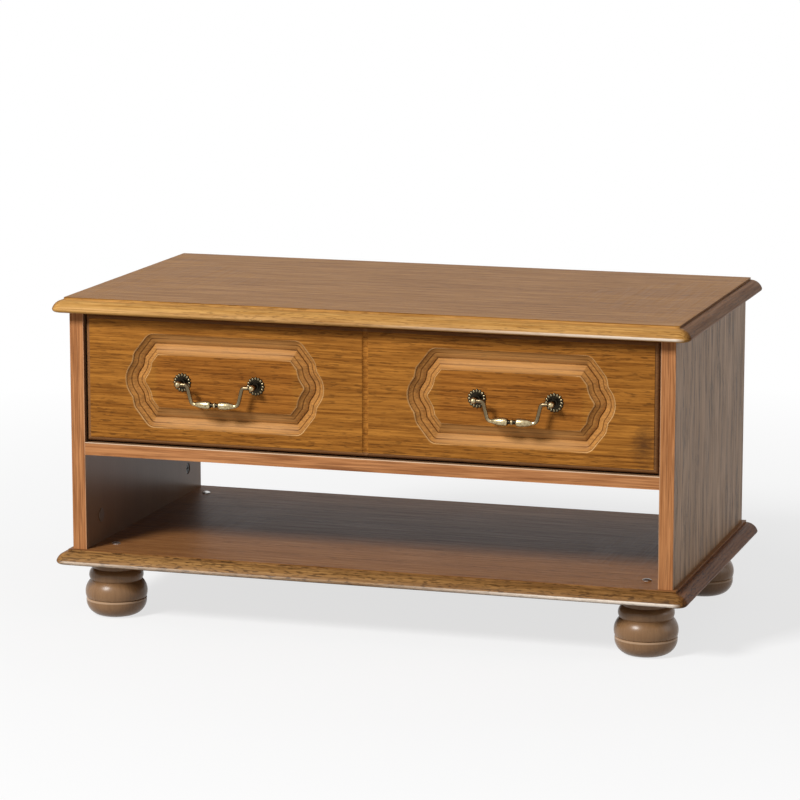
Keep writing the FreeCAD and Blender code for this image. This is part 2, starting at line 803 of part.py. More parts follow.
def routed_channel():
    """The cutter of one routed panel about the origin: straight runs and waved ends."""
    section, half_section = channel_section(), channel_section(half_only=True)
    axis = FreeCAD.Vector(0, 1, 0)
    height = s.panel_half_height.value
    tip_round, wave_round = s.tip_round.value, s.wave_round.value
    tip_turn, wave_turn = s.tip_turn.value, s.wave_turn.value
    shoulder_turn = s.shoulder_turn.value

    def way(lean):
        """The way along the valley, leaning in from the upright."""
        return FreeCAD.Vector(-math.sin(math.radians(lean)), 0, math.cos(math.radians(lean)))

    def outside(lean):
        """Square to the way, out of the panel."""
        return FreeCAD.Vector(math.cos(math.radians(lean)), 0, math.sin(math.radians(lean)))

    def climb(start, lean, level):
        """The point where a straight run from start reaches the level."""
        return start + way(lean) * ((level - start.z) / way(lean).z)

    tip = FreeCAD.Vector(s.panel_tip.value, 0, 0)
    tip_centre = tip - outside(0) * tip_round
    tip_end = tip_centre + outside(tip_turn) * tip_round
    wave = climb(tip_end, tip_turn, s.wave_level.value)
    wave_reach = wave_round * math.tan(math.radians(tip_turn - wave_turn) / 2)
    wave_start = wave - way(tip_turn) * wave_reach
    wave_end = wave + way(wave_turn) * wave_reach
    wave_centre = wave_start + outside(tip_turn) * wave_round
    shoulder = climb(wave_end, wave_turn, s.shoulder_level.value)
    corner = climb(shoulder, shoulder_turn, height)
    top_middle = FreeCAD.Vector(0, 0, height)

    def run(start, stop, lean):
        return aimed(section, start, lean).extrude(stop - start)

    def bend(start, centre, first, last):
        return aimed(section, start, first).revolve(centre, axis, first - last)

    def mitre(point, first, last):
        return aimed(half_section, point, first).revolve(point, axis, first - last)

    quarter = [
        bend(tip, tip_centre, 0, tip_turn),
        run(tip_end, wave_start, tip_turn),
        bend(wave_start, wave_centre, tip_turn, wave_turn),
        run(wave_end, shoulder, wave_turn),
        mitre(shoulder, wave_turn, shoulder_turn),
        run(shoulder, corner, shoulder_turn),
        mitre(corner, shoulder_turn, 90),
        run(corner, top_middle, 90),
    ]
    pieces = []
    for side in side_names:
        for end in end_names:
            for piece in quarter:
                flipped = piece
                if side < 0:
                    flipped = flipped.mirror(FreeCAD.Vector(), FreeCAD.Vector(1, 0, 0))
                if end < 0:
                    flipped = flipped.mirror(FreeCAD.Vector(), FreeCAD.Vector(0, 0, 1))
                pieces.append(flipped)
    return pieces[0].multiFuse(pieces[1:]).removeSplitter()


channel_shape = routed_channel()
panel_across = front_right / 2
front_cuts = []
for side in side_names:
    channel = doc.addObject("Part::Feature", f"channel_{side_names[side]}")
    channel.Shape = channel_shape
    place(channel, (panel_across * side, front_face, front_middle))
    front_cuts.append(channel)

flute_radius = round_over(s.flute_half, s.flute_depth)
flute_deep = front_face + s.flute_depth - flute_radius
front_cuts.append(rod("flute", flute_radius, (0, flute_deep, front_low), "+z", front_height))

handle_spread = panel_across + s.handle_shift
handle_spots = {}
for side in side_names:
    for hand in side_names:
        name = f"{side_names[side]}_{side_names[hand]}"
        handle_spots[name] = (side, hand, handle_spread * side + s.handle_centres / 2 * hand)
for name, (side, hand, across) in handle_spots.items():
    front_cuts.append(rod(f"handle_hole_{name}", s.handle_screw_radius + s.hole_gap,
                          (across, front_face, front_middle), "+y", s.front_thickness))

box_levels = (drawer_low + s.box_dowel_low, drawer_low + s.box_dowel_high)
side_middle = drawer_half - s.drawer_side_thickness / 2
box_dowel_rest = s.box_dowel_length - s.box_dowel_bite
for side in side_names:
    for number, level in enumerate(box_levels):
        front_cuts.append(rod(f"front_dowel_hole_{side_names[side]}_{number}", box_dowel_hole,
                              (side_middle * side, front_back, level), "-y", s.box_dowel_bite + s.end_gap))

groove_reach = drawer_inner + s.bottom_groove
front_cuts.append(block("front_bottom_groove",
                        (-groove_reach, front_back - s.bottom_groove, bottom_low - s.groove_gap),
                        (groove_reach, front_back, bottom_high + s.groove_gap)))
keep(cut("front_cut", front_blank, front_cuts), "drawer_front")


# Drawer box

back_inner = drawer_rear - s.drawer_back_thickness
back_centre = drawer_rear - s.drawer_back_thickness / 2
screw_across = drawer_half - s.drawer_side_thickness / 4
drawer_dowels, back_cuts = [], []
drawer_rail_screw_spots = spread(front_back + s.runner_screw_inset, drawer_rear - s.runner_screw_inset,
                                 drawer_runner_screws)
for side in side_names:
    wall = side_names[side]
    outer, inner = drawer_half * side, drawer_inner * side
    low_x, high_x = (inner, outer) if side > 0 else (outer, inner)
    blank = block(f"box_side_{wall}", (low_x, front_back, drawer_low), (high_x, drawer_rear, drawer_high))
    groove_end = inner + s.bottom_groove * side
    groove_low, groove_high = (inner, groove_end) if side > 0 else (groove_end, inner)
    side_cuts = [block(f"box_groove_{wall}", (groove_low, front_back, bottom_low - s.groove_gap),
                       (groove_high, drawer_rear, bottom_high + s.groove_gap))]
    for number, level in enumerate(box_levels):
        name = f"box_{wall}_{number}"
        seat = (side_middle * side, front_back, level)
        side_cuts.append(rod(f"{name}_front_hole", box_dowel_hole, seat, "+y", box_dowel_rest + s.end_gap))
        drawer_dowels.append(rod(f"{name}_front_dowel", s.box_dowel_radius,
                                 (side_middle * side, front_back - s.box_dowel_bite, level), "+y",
                                 s.box_dowel_length))
        seat = (inner, back_centre, level)
        side_cuts.append(rod(f"{name}_back_hole", box_dowel_hole, seat, outward(side),
                             s.box_dowel_bite + s.end_gap))
        back_cuts.append(rod(f"{name}_board_hole", box_dowel_hole, seat, inward(side),
                             box_dowel_rest + s.end_gap))
        drawer_dowels.append(rod(f"{name}_back_dowel", s.box_dowel_radius,
                                 (inner + s.box_dowel_bite * side, back_centre, level), inward(side),
                                 s.box_dowel_length))
    for number, screw_y in enumerate(drawer_rail_screw_spots):
        side_cuts.append(rod(f"box_pilot_{wall}_{number}", s.runner_screw_radius + s.fit_gap,
                             (screw_across * side, screw_y, drawer_low), "+z", pilot_depth))
    keep(cut(f"box_side_cut_{wall}", blank, side_cuts), f"drawer_side_{wall}")

box_back = block("box_back", (-drawer_inner, back_inner, bottom_high),
                 (drawer_inner, drawer_rear, drawer_high))
keep(cut("box_back_cut", box_back, back_cuts), "drawer_back")
bottom_reach = groove_reach - s.groove_gap
keep(block("box_bottom", (-bottom_reach, front_back - s.bottom_groove + s.groove_gap, bottom_low),
           (bottom_reach, drawer_rear, bottom_high)), "drawer_bottom")
keep(group("box_dowel_group", drawer_dowels), "drawer_dowels")


# Roller runners: a channel rail on each side panel, a flanged rail under each drawer side

track_low = rail_roof - s.track_headroom - s.rail_wall
axle_level = rail_floor + s.rolling_gap + s.roller_radius
front_roller_radius = track_low - s.rolling_gap - axle_level
front_axle = rail_front + s.roller_inset
rear_axle = drawer_rear - s.roller_inset
track_end = rear_axle - s.roller_radius - s.track_end_gap
web = s.runner_gap - s.rail_wall
roller_start = s.rail_wall + s.runner_screw_head_height + s.rivet_head_height + s.end_gap
roller_end = web - s.roller_web_gap
roller_width = roller_end - roller_start
rail_reach = roller_end + s.hole_gap
track_start = roller_start - s.end_gap
axle_hole = s.rivet_radius + s.fit_gap

cabinet_screws, drawer_screws, front_rivets, rear_rivets = [], [], [], []


def rivet(name, point, heading, shoulder):
    """A pin through the rail with a shoulder and a head that hold the roller between them."""
    away = 1 if heading == "+x" else -1
    pin_length = shoulder + roller_width + s.running_gap * 2
    pin = rod(f"{name}_pin", s.rivet_radius, point, heading, pin_length)
    shoulder_start = (point[0] + s.rail_wall * away, point[1], point[2])
    collar = rod(f"{name}_collar", s.rivet_head_radius, shoulder_start, heading, shoulder - s.rail_wall)
    head_start = (point[0] + pin_length * away, point[1], point[2])
    head = rod(f"{name}_head", s.rivet_head_radius, head_start, heading, s.rivet_head_height)
    return joined(f"{name}_whole", [pin, collar, head])


def roller(name, radius, point, heading):
    wheel = rod(f"{name}_wheel", radius, point, heading, roller_width)
    bore = rod(f"{name}_bore", s.rivet_radius + s.running_gap, point, heading, roller_width)
    return cut(f"{name}_cut", wheel, [bore])


for side in side_names:
    wall = side_names[side]

    def from_wall(gap):
        """Across, at a distance from the side panel towards the drawer."""
        return (bay_half - gap) * side

    cabinet_rail = doc.addObject("PartDesign::Body", f"cabinet_rail_{wall}")
    corners = [
        (from_wall(0), rail_low),
        (from_wall(rail_reach), rail_low),
        (from_wall(rail_reach), rail_floor),
        (from_wall(s.rail_wall), rail_floor),
        (from_wall(s.rail_wall), rail_roof),
        (from_wall(rail_reach), rail_roof),
        (from_wall(rail_reach), rail_roof + s.rail_wall),
        (from_wall(0), rail_roof + s.rail_wall),
    ]
    sketch = draw(sketch_on(cabinet_rail, f"cabinet_rail_section_{wall}", "XZ_Plane"), corners)
    pad(cabinet_rail, f"cabinet_rail_pad_{wall}", sketch, rail_length)
    place(cabinet_rail, (0, rail_front + rail_length / 2, 0))
    axle = (from_wall(0), front_axle, axle_level)
    rail_holes = [rod(f"front_axle_hole_{wall}", axle_hole, axle, inward(side), s.rail_wall)]
    for number, screw_y in enumerate(rail_screw_spots):
        name = f"cabinet_{wall}_{number}"
        rail_holes.append(rod(f"{name}_screw_hole", s.runner_screw_radius + s.fit_gap,
                              (from_wall(0), screw_y, rail_middle), inward(side), s.rail_wall))
        cabinet_screws.append(fastener(
            f"{name}_screw", (s.runner_screw_head_radius, s.runner_screw_head_height),
            (s.runner_screw_radius, s.runner_screw_length), (from_wall(s.rail_wall), screw_y, rail_middle),
            inward(side), s.runner_screw_radius * 2))
    keep(cut(f"cabinet_rail_cut_{wall}", cabinet_rail, rail_holes), f"cabinet_runner_{wall}")
    front_rivets.append(rivet(f"front_rivet_{wall}", axle, inward(side), roller_start - s.running_gap))
    front_start = (from_wall(roller_start), front_axle, axle_level)
    keep(roller(f"front_roller_{wall}", front_roller_radius, front_start, inward(side)),
         f"cabinet_roller_{wall}")

    drawer_rail = doc.addObject("PartDesign::Body", f"drawer_rail_{wall}")
    wrap_end = s.runner_gap + s.drawer_side_thickness
    corners = [
        (from_wall(wrap_end), drawer_low - s.rail_wall),
        (from_wall(web), drawer_low - s.rail_wall),
        (from_wall(web), track_low),
        (from_wall(track_start), track_low),
        (from_wall(track_start), track_low + s.rail_wall),
        (from_wall(s.runner_gap), track_low + s.rail_wall),
        (from_wall(s.runner_gap), drawer_low),
        (from_wall(wrap_end), drawer_low),
    ]
    sketch = draw(sketch_on(drawer_rail, f"drawer_rail_section_{wall}", "XZ_Plane"), corners)
    pad(drawer_rail, f"drawer_rail_pad_{wall}", sketch, drawer_depth)
    place(drawer_rail, (0, front_back + drawer_depth / 2, 0))
    edges = sorted((from_wall(track_start), from_wall(web)), key=lambda size: size.value)
    axle = (from_wall(s.runner_gap), rear_axle, axle_level)
    rail_cuts = [
        block(f"track_end_{wall}", (edges[0], track_end, track_low),
              (edges[1], drawer_rear, track_low + s.rail_wall)),
        rod(f"rear_axle_hole_{wall}", axle_hole, axle, outward(side), s.rail_wall),
    ]
    for number, screw_y in enumerate(drawer_rail_screw_spots):
        name = f"drawer_{wall}_{number}"
        spot = (screw_across * side, screw_y, drawer_low - s.rail_wall)
        rail_cuts.append(rod(f"{name}_screw_hole", s.runner_screw_radius + s.fit_gap, spot, "+z",
                             s.rail_wall))
        drawer_screws.append(fastener(
            f"{name}_screw", (s.runner_screw_head_radius, s.runner_screw_head_height),
            (s.runner_screw_radius, s.runner_screw_length), spot, "-z", s.runner_screw_radius * 2))
    keep(cut(f"drawer_rail_cut_{wall}", drawer_rail, rail_cuts), f"drawer_runner_{wall}")
    shoulder = s.runner_gap - roller_end - s.running_gap
    rear_rivets.append(rivet(f"rear_rivet_{wall}", axle, outward(side), shoulder))
    rear_start = (from_wall(roller_end), rear_axle, axle_level)
    keep(roller(f"rear_roller_{wall}", s.roller_radius, rear_start, outward(side)), f"drawer_roller_{wall}")

keep(group("cabinet_screw_group", cabinet_screws), "cabinet_runner_screws")
keep(group("drawer_screw_group", drawer_screws), "drawer_runner_screws")
keep(group("front_rivet_group", front_rivets), "cabinet_roller_rivets")
keep(group("rear_rivet_group", rear_rivets), "drawer_roller_rivets")


# Bail handles: petal rosettes, ball posts, swinging bails and their screws

def rosette(name, across):
    body = doc.addObject("PartDesign::Body", f"{name}_body")
    hole = s.handle_screw_radius + s.hole_gap
    corners = [
        (hole, 0),
        (s.rosette_radius, 0),
        (s.rosette_radius, s.rosette_thickness),
        (s.rosette_boss_radius, s.rosette_thickness),
        (s.rosette_boss_radius, s.rosette_boss_height),
        (hole, s.rosette_boss_height),
    ]
    turned(body, f"{name}_disc", draw(sketch_on(body, f"{name}_outline", "XZ_Plane"), corners))
    petal = body.newObject("PartDesign::AdditiveEllipsoid", f"{name}_petal")
    petal.AttachmentSupport = (origin_of(body, "XY_Plane"), [""])
    petal.MapMode = "FlatFace"
    bind(petal, "Radius1", s.petal_height)
    bind(petal, "Radius2", s.petal_length / 2)
    bind(petal, "Radius3", s.petal_width / 2)
    petal.Angle1 = 0
    bind(petal, "AttachmentOffset.Base.x", s.petal_circle)
    doc.recompute()
    ring = body.newObject("PartDesign::PolarPattern", f"{name}_ring")
    ring.Originals = [petal]
    ring.Axis = (origin_of(body, "Z_Axis"), [""])
    ring.Angle = 360
    ring.Occurrences = petal_count
    body.Tip = ring
    place(body, (across, front_face, front_middle), "-y")
    return body


def post(name, across, hand):
    """A ball on a waisted neck, tapped for its screw and bored on one side for the bail's pin."""
    body = doc.addObject("PartDesign::Body", f"{name}_body")
    low = s.rosette_boss_height
    tap = s.handle_screw_radius + s.fit_gap
    tap_end = low + s.handle_screw_bite + s.end_gap
    neck = low + s.post_foot_height
    neck_end = low + s.post_neck_length
    waist_rise = s.ball_radius * s.ball_radius - s.post_waist_radius * s.post_waist_radius
    ball_start = s.ball_reach - root(waist_rise)
    corners = [
        (0, tap_end),
        (tap, tap_end),
        (tap, low),
        (s.post_foot_radius, low),
        (s.post_foot_radius, neck),
        (s.post_neck_radius, neck + s.post_foot_height),
        (s.post_neck_radius, neck_end),
        (s.post_waist_radius, ball_start),
        (s.ball_radius, s.ball_reach),
        (0, s.ball_reach + s.ball_radius),
    ]
    rounds = {7: (s.ball_radius, "left"), 8: (s.ball_radius, "left")}
    sketch = draw(sketch_on(body, f"{name}_outline", "XZ_Plane"), corners, rounds)
    turned(body, f"{name}_turned", sketch)
    place(body, (across, front_face, front_middle), "-y")
    hole_end = across + (s.pin_depth - s.ball_radius + s.end_gap) * hand
    bore = rod(f"{name}_bore", s.pin_radius + s.running_gap,
               (hole_end, front_face - s.ball_reach, front_middle), inward(hand), s.ball_radius * 2)
    return cut(f"{name}_cut", body, [bore])


def bail(name, across):
    """A swinging pull: pins in the balls, arms that bend down and in, and a grip of two bulbs."""
    body = doc.addObject("PartDesign::Body", f"{name}_body")
    ball_inner = s.handle_centres / 2 - s.ball_radius
    arm_start = ball_inner - s.hole_gap
    sink = sine(s.arm_turn)
    fall = 1 - cosine(s.arm_turn)
    bend_start = arm_start - s.arm_lead
    first_end = (bend_start - s.upper_bend * sink, -(s.upper_bend * fall))
    grip_level = -s.bail_drop
    second_start_z = grip_level + s.lower_bend * fall
    slope_run = (first_end[1] - second_start_z) * cosine(s.arm_turn) / sink
    second_start = (first_end[0] - slope_run, second_start_z)
    grip_end = second_start[0] - s.lower_bend * sink

    spine = sketch_on(body, f"{name}_spine", "XZ_Plane")
    corners = [(arm_start, 0), (bend_start, 0), first_end, second_start, (grip_end, grip_level)]
    draw(spine, corners, {1: (s.upper_bend, "left"), 3: (s.lower_bend, "right")}, closed=False)
    section = sketch_on(body, f"{name}_section", "YZ_Plane", (0, 0, arm_start))
    section.addGeometry(Part.Circle(FreeCAD.Vector(), FreeCAD.Vector(0, 0, 1), s.arm_radius.value), False)
    section.addConstraint(Sketcher.Constraint("Coincident", 0, 3, -1, 1))
    tie = section.addConstraint(Sketcher.Constraint("Radius", 0, s.arm_radius.value))
    bind(section, f"Constraints[{tie}]", s.arm_radius)
    arm = body.newObject("PartDesign::AdditivePipe", f"{name}_arm")
    arm.Profile = section
    arm.Spine = (spine, [])
    pin_outline = sketch_on(body, f"{name}_pin_outline", "XZ_Plane")
    corners = [
        (arm_start, 0),
        (ball_inner + s.pin_depth, 0),
        (ball_inner + s.pin_depth, s.pin_radius),
        (arm_start, s.pin_radius),
    ]
    pin = turned(body, f"{name}_pin", draw(pin_outline, corners), "H_Axis")
    doc.recompute()
    mirrored = body.newObject("PartDesign::Mirrored", f"{name}_other_arm")
    mirrored.Originals = [arm, pin]
    mirrored.MirrorPlane = (origin_of(body, "YZ_Plane"), [""])
    body.Tip = mirrored

    grip = sketch_on(body, f"{name}_grip_outline", "XZ_Plane", (0, grip_level, 0))
    corners = [
        (-grip_end, 0),
        (grip_end, 0),
        (grip_end, s.arm_radius),
        (s.bulb_peak, s.bulb_radius),
        (s.bulb_inner, s.grip_neck_radius),
        (s.grip_bead_half, s.grip_neck_radius),
        (-s.grip_bead_half, s.grip_neck_radius),
        (-s.bulb_inner, s.grip_neck_radius),
        (-s.bulb_peak, s.bulb_radius),
        (-grip_end, s.arm_radius),
    ]
    nose = round_over(s.bulb_radius - s.grip_neck_radius, s.bulb_peak - s.bulb_inner)
    bulb = full_round(grip_end - s.bulb_peak, s.bulb_radius - s.arm_radius, s.bulb_fullness)
    bead = s.grip_bead_half * 2 * s.grip_bead_fullness
    rounds = {
        2: (bulb, "left"),
        3: (nose, "left"),
        5: (bead, "left"),
        7: (nose, "left"),
        8: (bulb, "left"),
    }
    turned(body, f"{name}_grip", draw(grip, corners, rounds), "H_Axis")
    place(body, (across, front_face - s.ball_reach, front_middle))
    return body


handle_screws = []
for name, (side, hand, across) in handle_spots.items():
    label = f"{side_names[side]}_handle"
    keep(rosette(f"rosette_{name}", across), f"{label}_rosette_{side_names[hand]}")
    keep(post(f"post_{name}", across, hand), f"{label}_post_{side_names[hand]}")
    length = s.front_thickness + s.rosette_boss_height + s.handle_screw_bite
    handle_screws.append(fastener(
        f"handle_screw_{name}", (s.handle_screw_head_radius, s.handle_screw_head_height),
        (s.handle_screw_radius, length), (across, front_back, front_middle), "+y"))
keep(group("handle_screw_group", handle_screws), "handle_screws")
for side in side_names:
    keep(bail(f"bail_{side_names[side]}", handle_spread * side), f"{side_names[side]}_handle_bail")


# Check every object, then write one file for each sub-part

doc.recompute()
for item in doc.Objects:
    if "Invalid" in item.State or "Error" in item.State:
        raise RuntimeError(f"{item.Label} failed: {item.State}")
for item in doc.findObjects("Part::Cut"):
    if item.Shape.Volume > item.Base.Shape.Volume - 1e-3:
        raise RuntimeError(f"{item.Label} cut nothing away")
for item in sub_parts:
    if item.Shape.isNull() or not item.Shape.isValid() or not item.Shape.Solids:
        raise RuntimeError(f"{item.Label} has no valid solid")

os.makedirs("parts", exist_ok=True)
for item in sub_parts:
    item.Shape.exportStep(f"parts/{item.Label}.step")
    solids = len(item.Shape.Solids)
    print(f"{item.Label}: {solids} solid(s), {item.Shape.Volume / 1000:.2f} cm3")
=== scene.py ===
import math

import bmesh
import bpy
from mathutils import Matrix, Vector


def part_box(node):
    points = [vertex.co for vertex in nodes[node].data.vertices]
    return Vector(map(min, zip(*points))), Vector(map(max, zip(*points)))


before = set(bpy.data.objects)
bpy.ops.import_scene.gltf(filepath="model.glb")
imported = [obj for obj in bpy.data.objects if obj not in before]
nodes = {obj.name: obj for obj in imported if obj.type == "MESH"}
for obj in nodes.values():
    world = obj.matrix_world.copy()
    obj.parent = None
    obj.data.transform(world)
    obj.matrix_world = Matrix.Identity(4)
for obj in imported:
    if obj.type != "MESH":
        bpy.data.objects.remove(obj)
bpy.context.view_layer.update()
dressed = set()  # names of the nodes that have their finish
print("frame loaded:", len(nodes), "nodes")


# small helpers for shader trees

def addNode(tree, kind, **settings):
    node = tree.nodes.new(kind)
    for key, value in settings.items():
        setattr(node, key, value)
    return node


def plug(tree, item, socket):
    # a number or colour is set on the socket, anything else is linked to it
    if isinstance(item, (int, float)):
        socket.default_value = item
    elif isinstance(item, tuple):
        socket.default_value = (*item, 1.0) if socket.type == "RGBA" else item
    else:
        tree.links.new(item, socket)


def newMaterial(name):
    material = bpy.data.materials.new(name)
    material.use_nodes = True
    tree = material.node_tree
    tree.nodes.clear()
    out = addNode(tree, "ShaderNodeOutputMaterial")
    shader = addNode(tree, "ShaderNodeBsdfPrincipled")
    plug(tree, shader.outputs["BSDF"], out.inputs["Surface"])
    return material, tree, shader


def objectPlace(tree):
    return addNode(tree, "ShaderNodeTexCoord").outputs["Object"]


def split(tree, vector):
    node = addNode(tree, "ShaderNodeSeparateXYZ")
    plug(tree, vector, node.inputs["Vector"])
    return node.outputs


def maths(tree, operation, first, second=0.0):
    node = addNode(tree, "ShaderNodeMath", operation=operation)
    plug(tree, first, node.inputs[0])
    plug(tree, second, node.inputs[1])
    return node.outputs["Value"]


def times(tree, product, *factors):
    for factor in factors:
        product = maths(tree, "MULTIPLY", product, factor)
    return product


def minus(tree, first, second):
    return maths(tree, "SUBTRACT", first, second)


def absolute(tree, value):
    return maths(tree, "ABSOLUTE", value)


def vectorMaths(tree, operation, first, second):
    node = addNode(tree, "ShaderNodeVectorMath", operation=operation)
    plug(tree, first, node.inputs[0])
    plug(tree, second, node.inputs["Scale"] if operation == "SCALE" else node.inputs[1])
    return node.outputs["Vector"]


def length(tree, vector):
    node = addNode(tree, "ShaderNodeVectorMath", operation="LENGTH")
    plug(tree, vector, node.inputs[0])
    return node.outputs["Value"]


def ramp(tree, value, low, high, start=0.0, stop=1.0):
    node = addNode(tree, "ShaderNodeMapRange")
    items = {"Value": value, "From Min": low, "From Max": high, "To Min": start, "To Max": stop}
    for name, item in items.items():
        plug(tree, item, node.inputs[name])
    return node.outputs["Result"]


def fade(tree, factor, first, second):
    # from the first value to the second as the factor goes from 0 to 1
    return ramp(tree, factor, 0.0, 1.0, first, second)


def between(tree, value, low, high, soft):
    # 1 inside the range, fading to 0 over the soft width at both ends
    rising = ramp(tree, value, low - soft, low)
    falling = ramp(tree, value, high, high + soft, 1.0, 0.0)
    return times(tree, rising, falling)


def mix(tree, factor, first, second, kind="RGBA", blend="MIX"):
    node = addNode(tree, "ShaderNodeMix", data_type=kind)
    if kind == "RGBA":
        node.blend_type = blend
    for name, item in (("Factor", factor), ("A", first), ("B", second)):
        plug(tree, item, next(socket for socket in node.inputs if socket.name == name and socket.enabled))
    return next(socket for socket in node.outputs if socket.enabled)


def noise(tree, vector, scale, detail=3.0, roughness=0.5):
    # the mapping holds the real scale, in repeats per metre along each axis
    mapping = addNode(tree, "ShaderNodeMapping")
    mapping.inputs["Scale"].default_value = scale
    plug(tree, vector, mapping.inputs["Vector"])
    node = addNode(tree, "ShaderNodeTexNoise")
    node.inputs["Scale"].default_value = 1.0
    node.inputs["Detail"].default_value = detail
    node.inputs["Roughness"].default_value = roughness
    plug(tree, mapping.outputs["Vector"], node.inputs["Vector"])
    return node.outputs


def cloud(tree, vector, scale, **settings):
    return noise(tree, vector, (scale, scale, scale), **settings)["Fac"]


def bumped(tree, shader, height, strength, distance):
    bump = addNode(tree, "ShaderNodeBump")
    bump.inputs["Strength"].default_value = strength
    bump.inputs["Distance"].default_value = distance
    plug(tree, height, bump.inputs["Height"])
    plug(tree, bump.outputs["Normal"], shader.inputs["Normal"])


def dress(material, names):
    for name in names:
        nodes[name].data.materials.clear()
        nodes[name].data.materials.append(material)
        dressed.add(name)


# oak: broad bands, fine streaks and short dark pores, all drawn out along one axis
# Run and Across are repeats per metre along the grain and across it

oak = {
    "axis": "x", "wander": 0.006, "wanderRun": 2.2, "wanderAcross": 16.0,
    "bandRun": 1.6, "bandAcross": 34.0, "bandRange": (0.3, 0.7), "bandDepth": 0.6,
    "streakRun": 11.0, "streakAcross": 430.0, "streakRange": (0.34, 0.66), "evenness": 0.05,
    "poreRun": 65.0, "poreAcross": 620.0, "poreEdge": 0.55, "poreSoft": 0.08, "poreDepth": 0.6,
    "crowdLow": 0.36, "crowdHigh": 0.60, "crowdLeast": 0.35,
    "rough": 0.42, "roughUp": 0.06, "roughDown": 0.04, "sheenRange": (0.3, 0.7), "gloss": 0.06,
    "bump": 0.2, "bumpDistance": 0.0004, "streakRelief": 0.35,
    "light": (0.54, 0.222, 0.038), "middle": (0.38, 0.140, 0.020), "dark": (0.22, 0.076, 0.011),
    "band": (0.76, 0.70, 0.64), "pore": (0.075, 0.026, 0.006),
}


def oakLayers(tree, place, look):
    def drawnOut(vector, layer, **settings):
        scale = [look[layer + "Across"]] * 3
        scale["xyz".index(look["axis"])] = look[layer + "Run"]
        return noise(tree, vector, scale, **settings)

    drift = drawnOut(place, "wander", detail=2.0)["Color"]
    centred = vectorMaths(tree, "SUBTRACT", drift, (0.5, 0.5, 0.5))
    bent = vectorMaths(tree, "ADD", place, vectorMaths(tree, "SCALE", centred, look["wander"]))
    bands = drawnOut(bent, "band", detail=2.0)["Fac"]
    streaks = drawnOut(bent, "streak", detail=4.0, roughness=0.62)["Fac"]
    pores = drawnOut(bent, "pore", detail=2.0, roughness=0.55)["Fac"]
    cut = ramp(tree, pores, look["poreEdge"], look["poreEdge"] + look["poreSoft"])
    # pores crowd together in the dark bands and thin out in the pale ones
    crowd = ramp(tree, bands, look["crowdLow"], look["crowdHigh"], look["crowdLeast"], 1.0)
    return {"bands": bands, "streaks": streaks, "pores": times(tree, cut, crowd)}


def oakColour(tree, layers, look):
    streaked = mix(tree, ramp(tree, layers["streaks"], *look["streakRange"]), look["dark"], look["light"])
    toned = mix(tree, look["evenness"], streaked, look["middle"])
    banding = ramp(tree, layers["bands"], *look["bandRange"], 0.0, look["bandDepth"])
    banded = mix(tree, banding, toned, look["band"], blend="MULTIPLY")
    return mix(tree, times(tree, layers["pores"], look["poreDepth"]), banded, look["pore"])


def oakRelief(tree, shader, layers, look):
    height = minus(tree, times(tree, layers["streaks"], look["streakRelief"]), layers["pores"])
    bumped(tree, shader, height, look["bump"], look["bumpDistance"])
    shader.inputs["Specular IOR Level"].default_value = look["gloss"]


def oakVarnish(tree, shader, layers, look):
    dull = look["rough"] + look["roughUp"]
    bright = look["rough"] - look["roughDown"]
    plug(tree, ramp(tree, layers["streaks"], *look["sheenRange"], dull, bright), shader.inputs["Roughness"])
    oakRelief(tree, shader, layers, look)


def plainOak(name, changes):
    look = {**oak, **changes}
    material, tree, shader = newMaterial(name)
    layers = oakLayers(tree, objectPlace(tree), look)
    plug(tree, oakColour(tree, layers, look), shader.inputs["Base Color"])
    oakVarnish(tree, shader, layers, look)
    return material


def highlightedOak(name, changes, highlightMask):
    # plain oak with a painted highlight where the mask says
    look = {**oak, **changes}
    material, tree, shader = newMaterial(name)
    place = objectPlace(tree)
    layers = oakLayers(tree, place, look)
    highlighted = highlightMask(tree, split(tree, place), look)
    plug(tree, mix(tree, highlighted, oakColour(tree, layers, look), look["paintedHighlight"]), shader.inputs["Base Color"])
    oakVarnish(tree, shader, layers, look)
    return material


# top and base boards: a flat face inside a moulded edge, with a painted highlight along a low line of the
# front edge

mouldingLook = {
    "mitreSoft": 0.0006, "easeBefore": 0.006, "easeAfter": 0.010,  # where an end moulding starts
    "faceStart": 0.0012, "faceStop": 0.0006,                       # below the board's upper face
    "highlightSoft": 0.0010, "highlightBack": 0.022, "highlightFront": 0.016, "highlightCorner": 0.006, "highlightClear": 0.016,
    "highlightPore": 0.7, "highlightOverPore": 0.75,
}
topLook = {
    **mouldingLook,
    "board": "top_board",
    "face": {**oak, "light": (0.44, 0.202, 0.037), "middle": (0.32, 0.139, 0.022),
             "dark": (0.20, 0.076, 0.010), "poreDepth": 0.5},
    # the moulded edge is paler than the face, partly a painted sheen on its nose
    "edge": {**oak, "light": (0.70, 0.390, 0.122), "middle": (0.55, 0.283, 0.077),
             "dark": (0.40, 0.190, 0.043), "poreDepth": 0.45},
    "endPaintedShade": (0.33, 0.23, 0.06), "rightwardDarkening": (1.0, 0.98, 0.95),
    "paintedHighlight": (0.95, 0.80, 0.64), "highlightLow": 0.0020, "highlightHigh": 0.0042,
    "highlightLeft": 0.0, "highlightMiddle": 0.05, "highlightRight": 1.0, "highlightFull": 0.36,
}
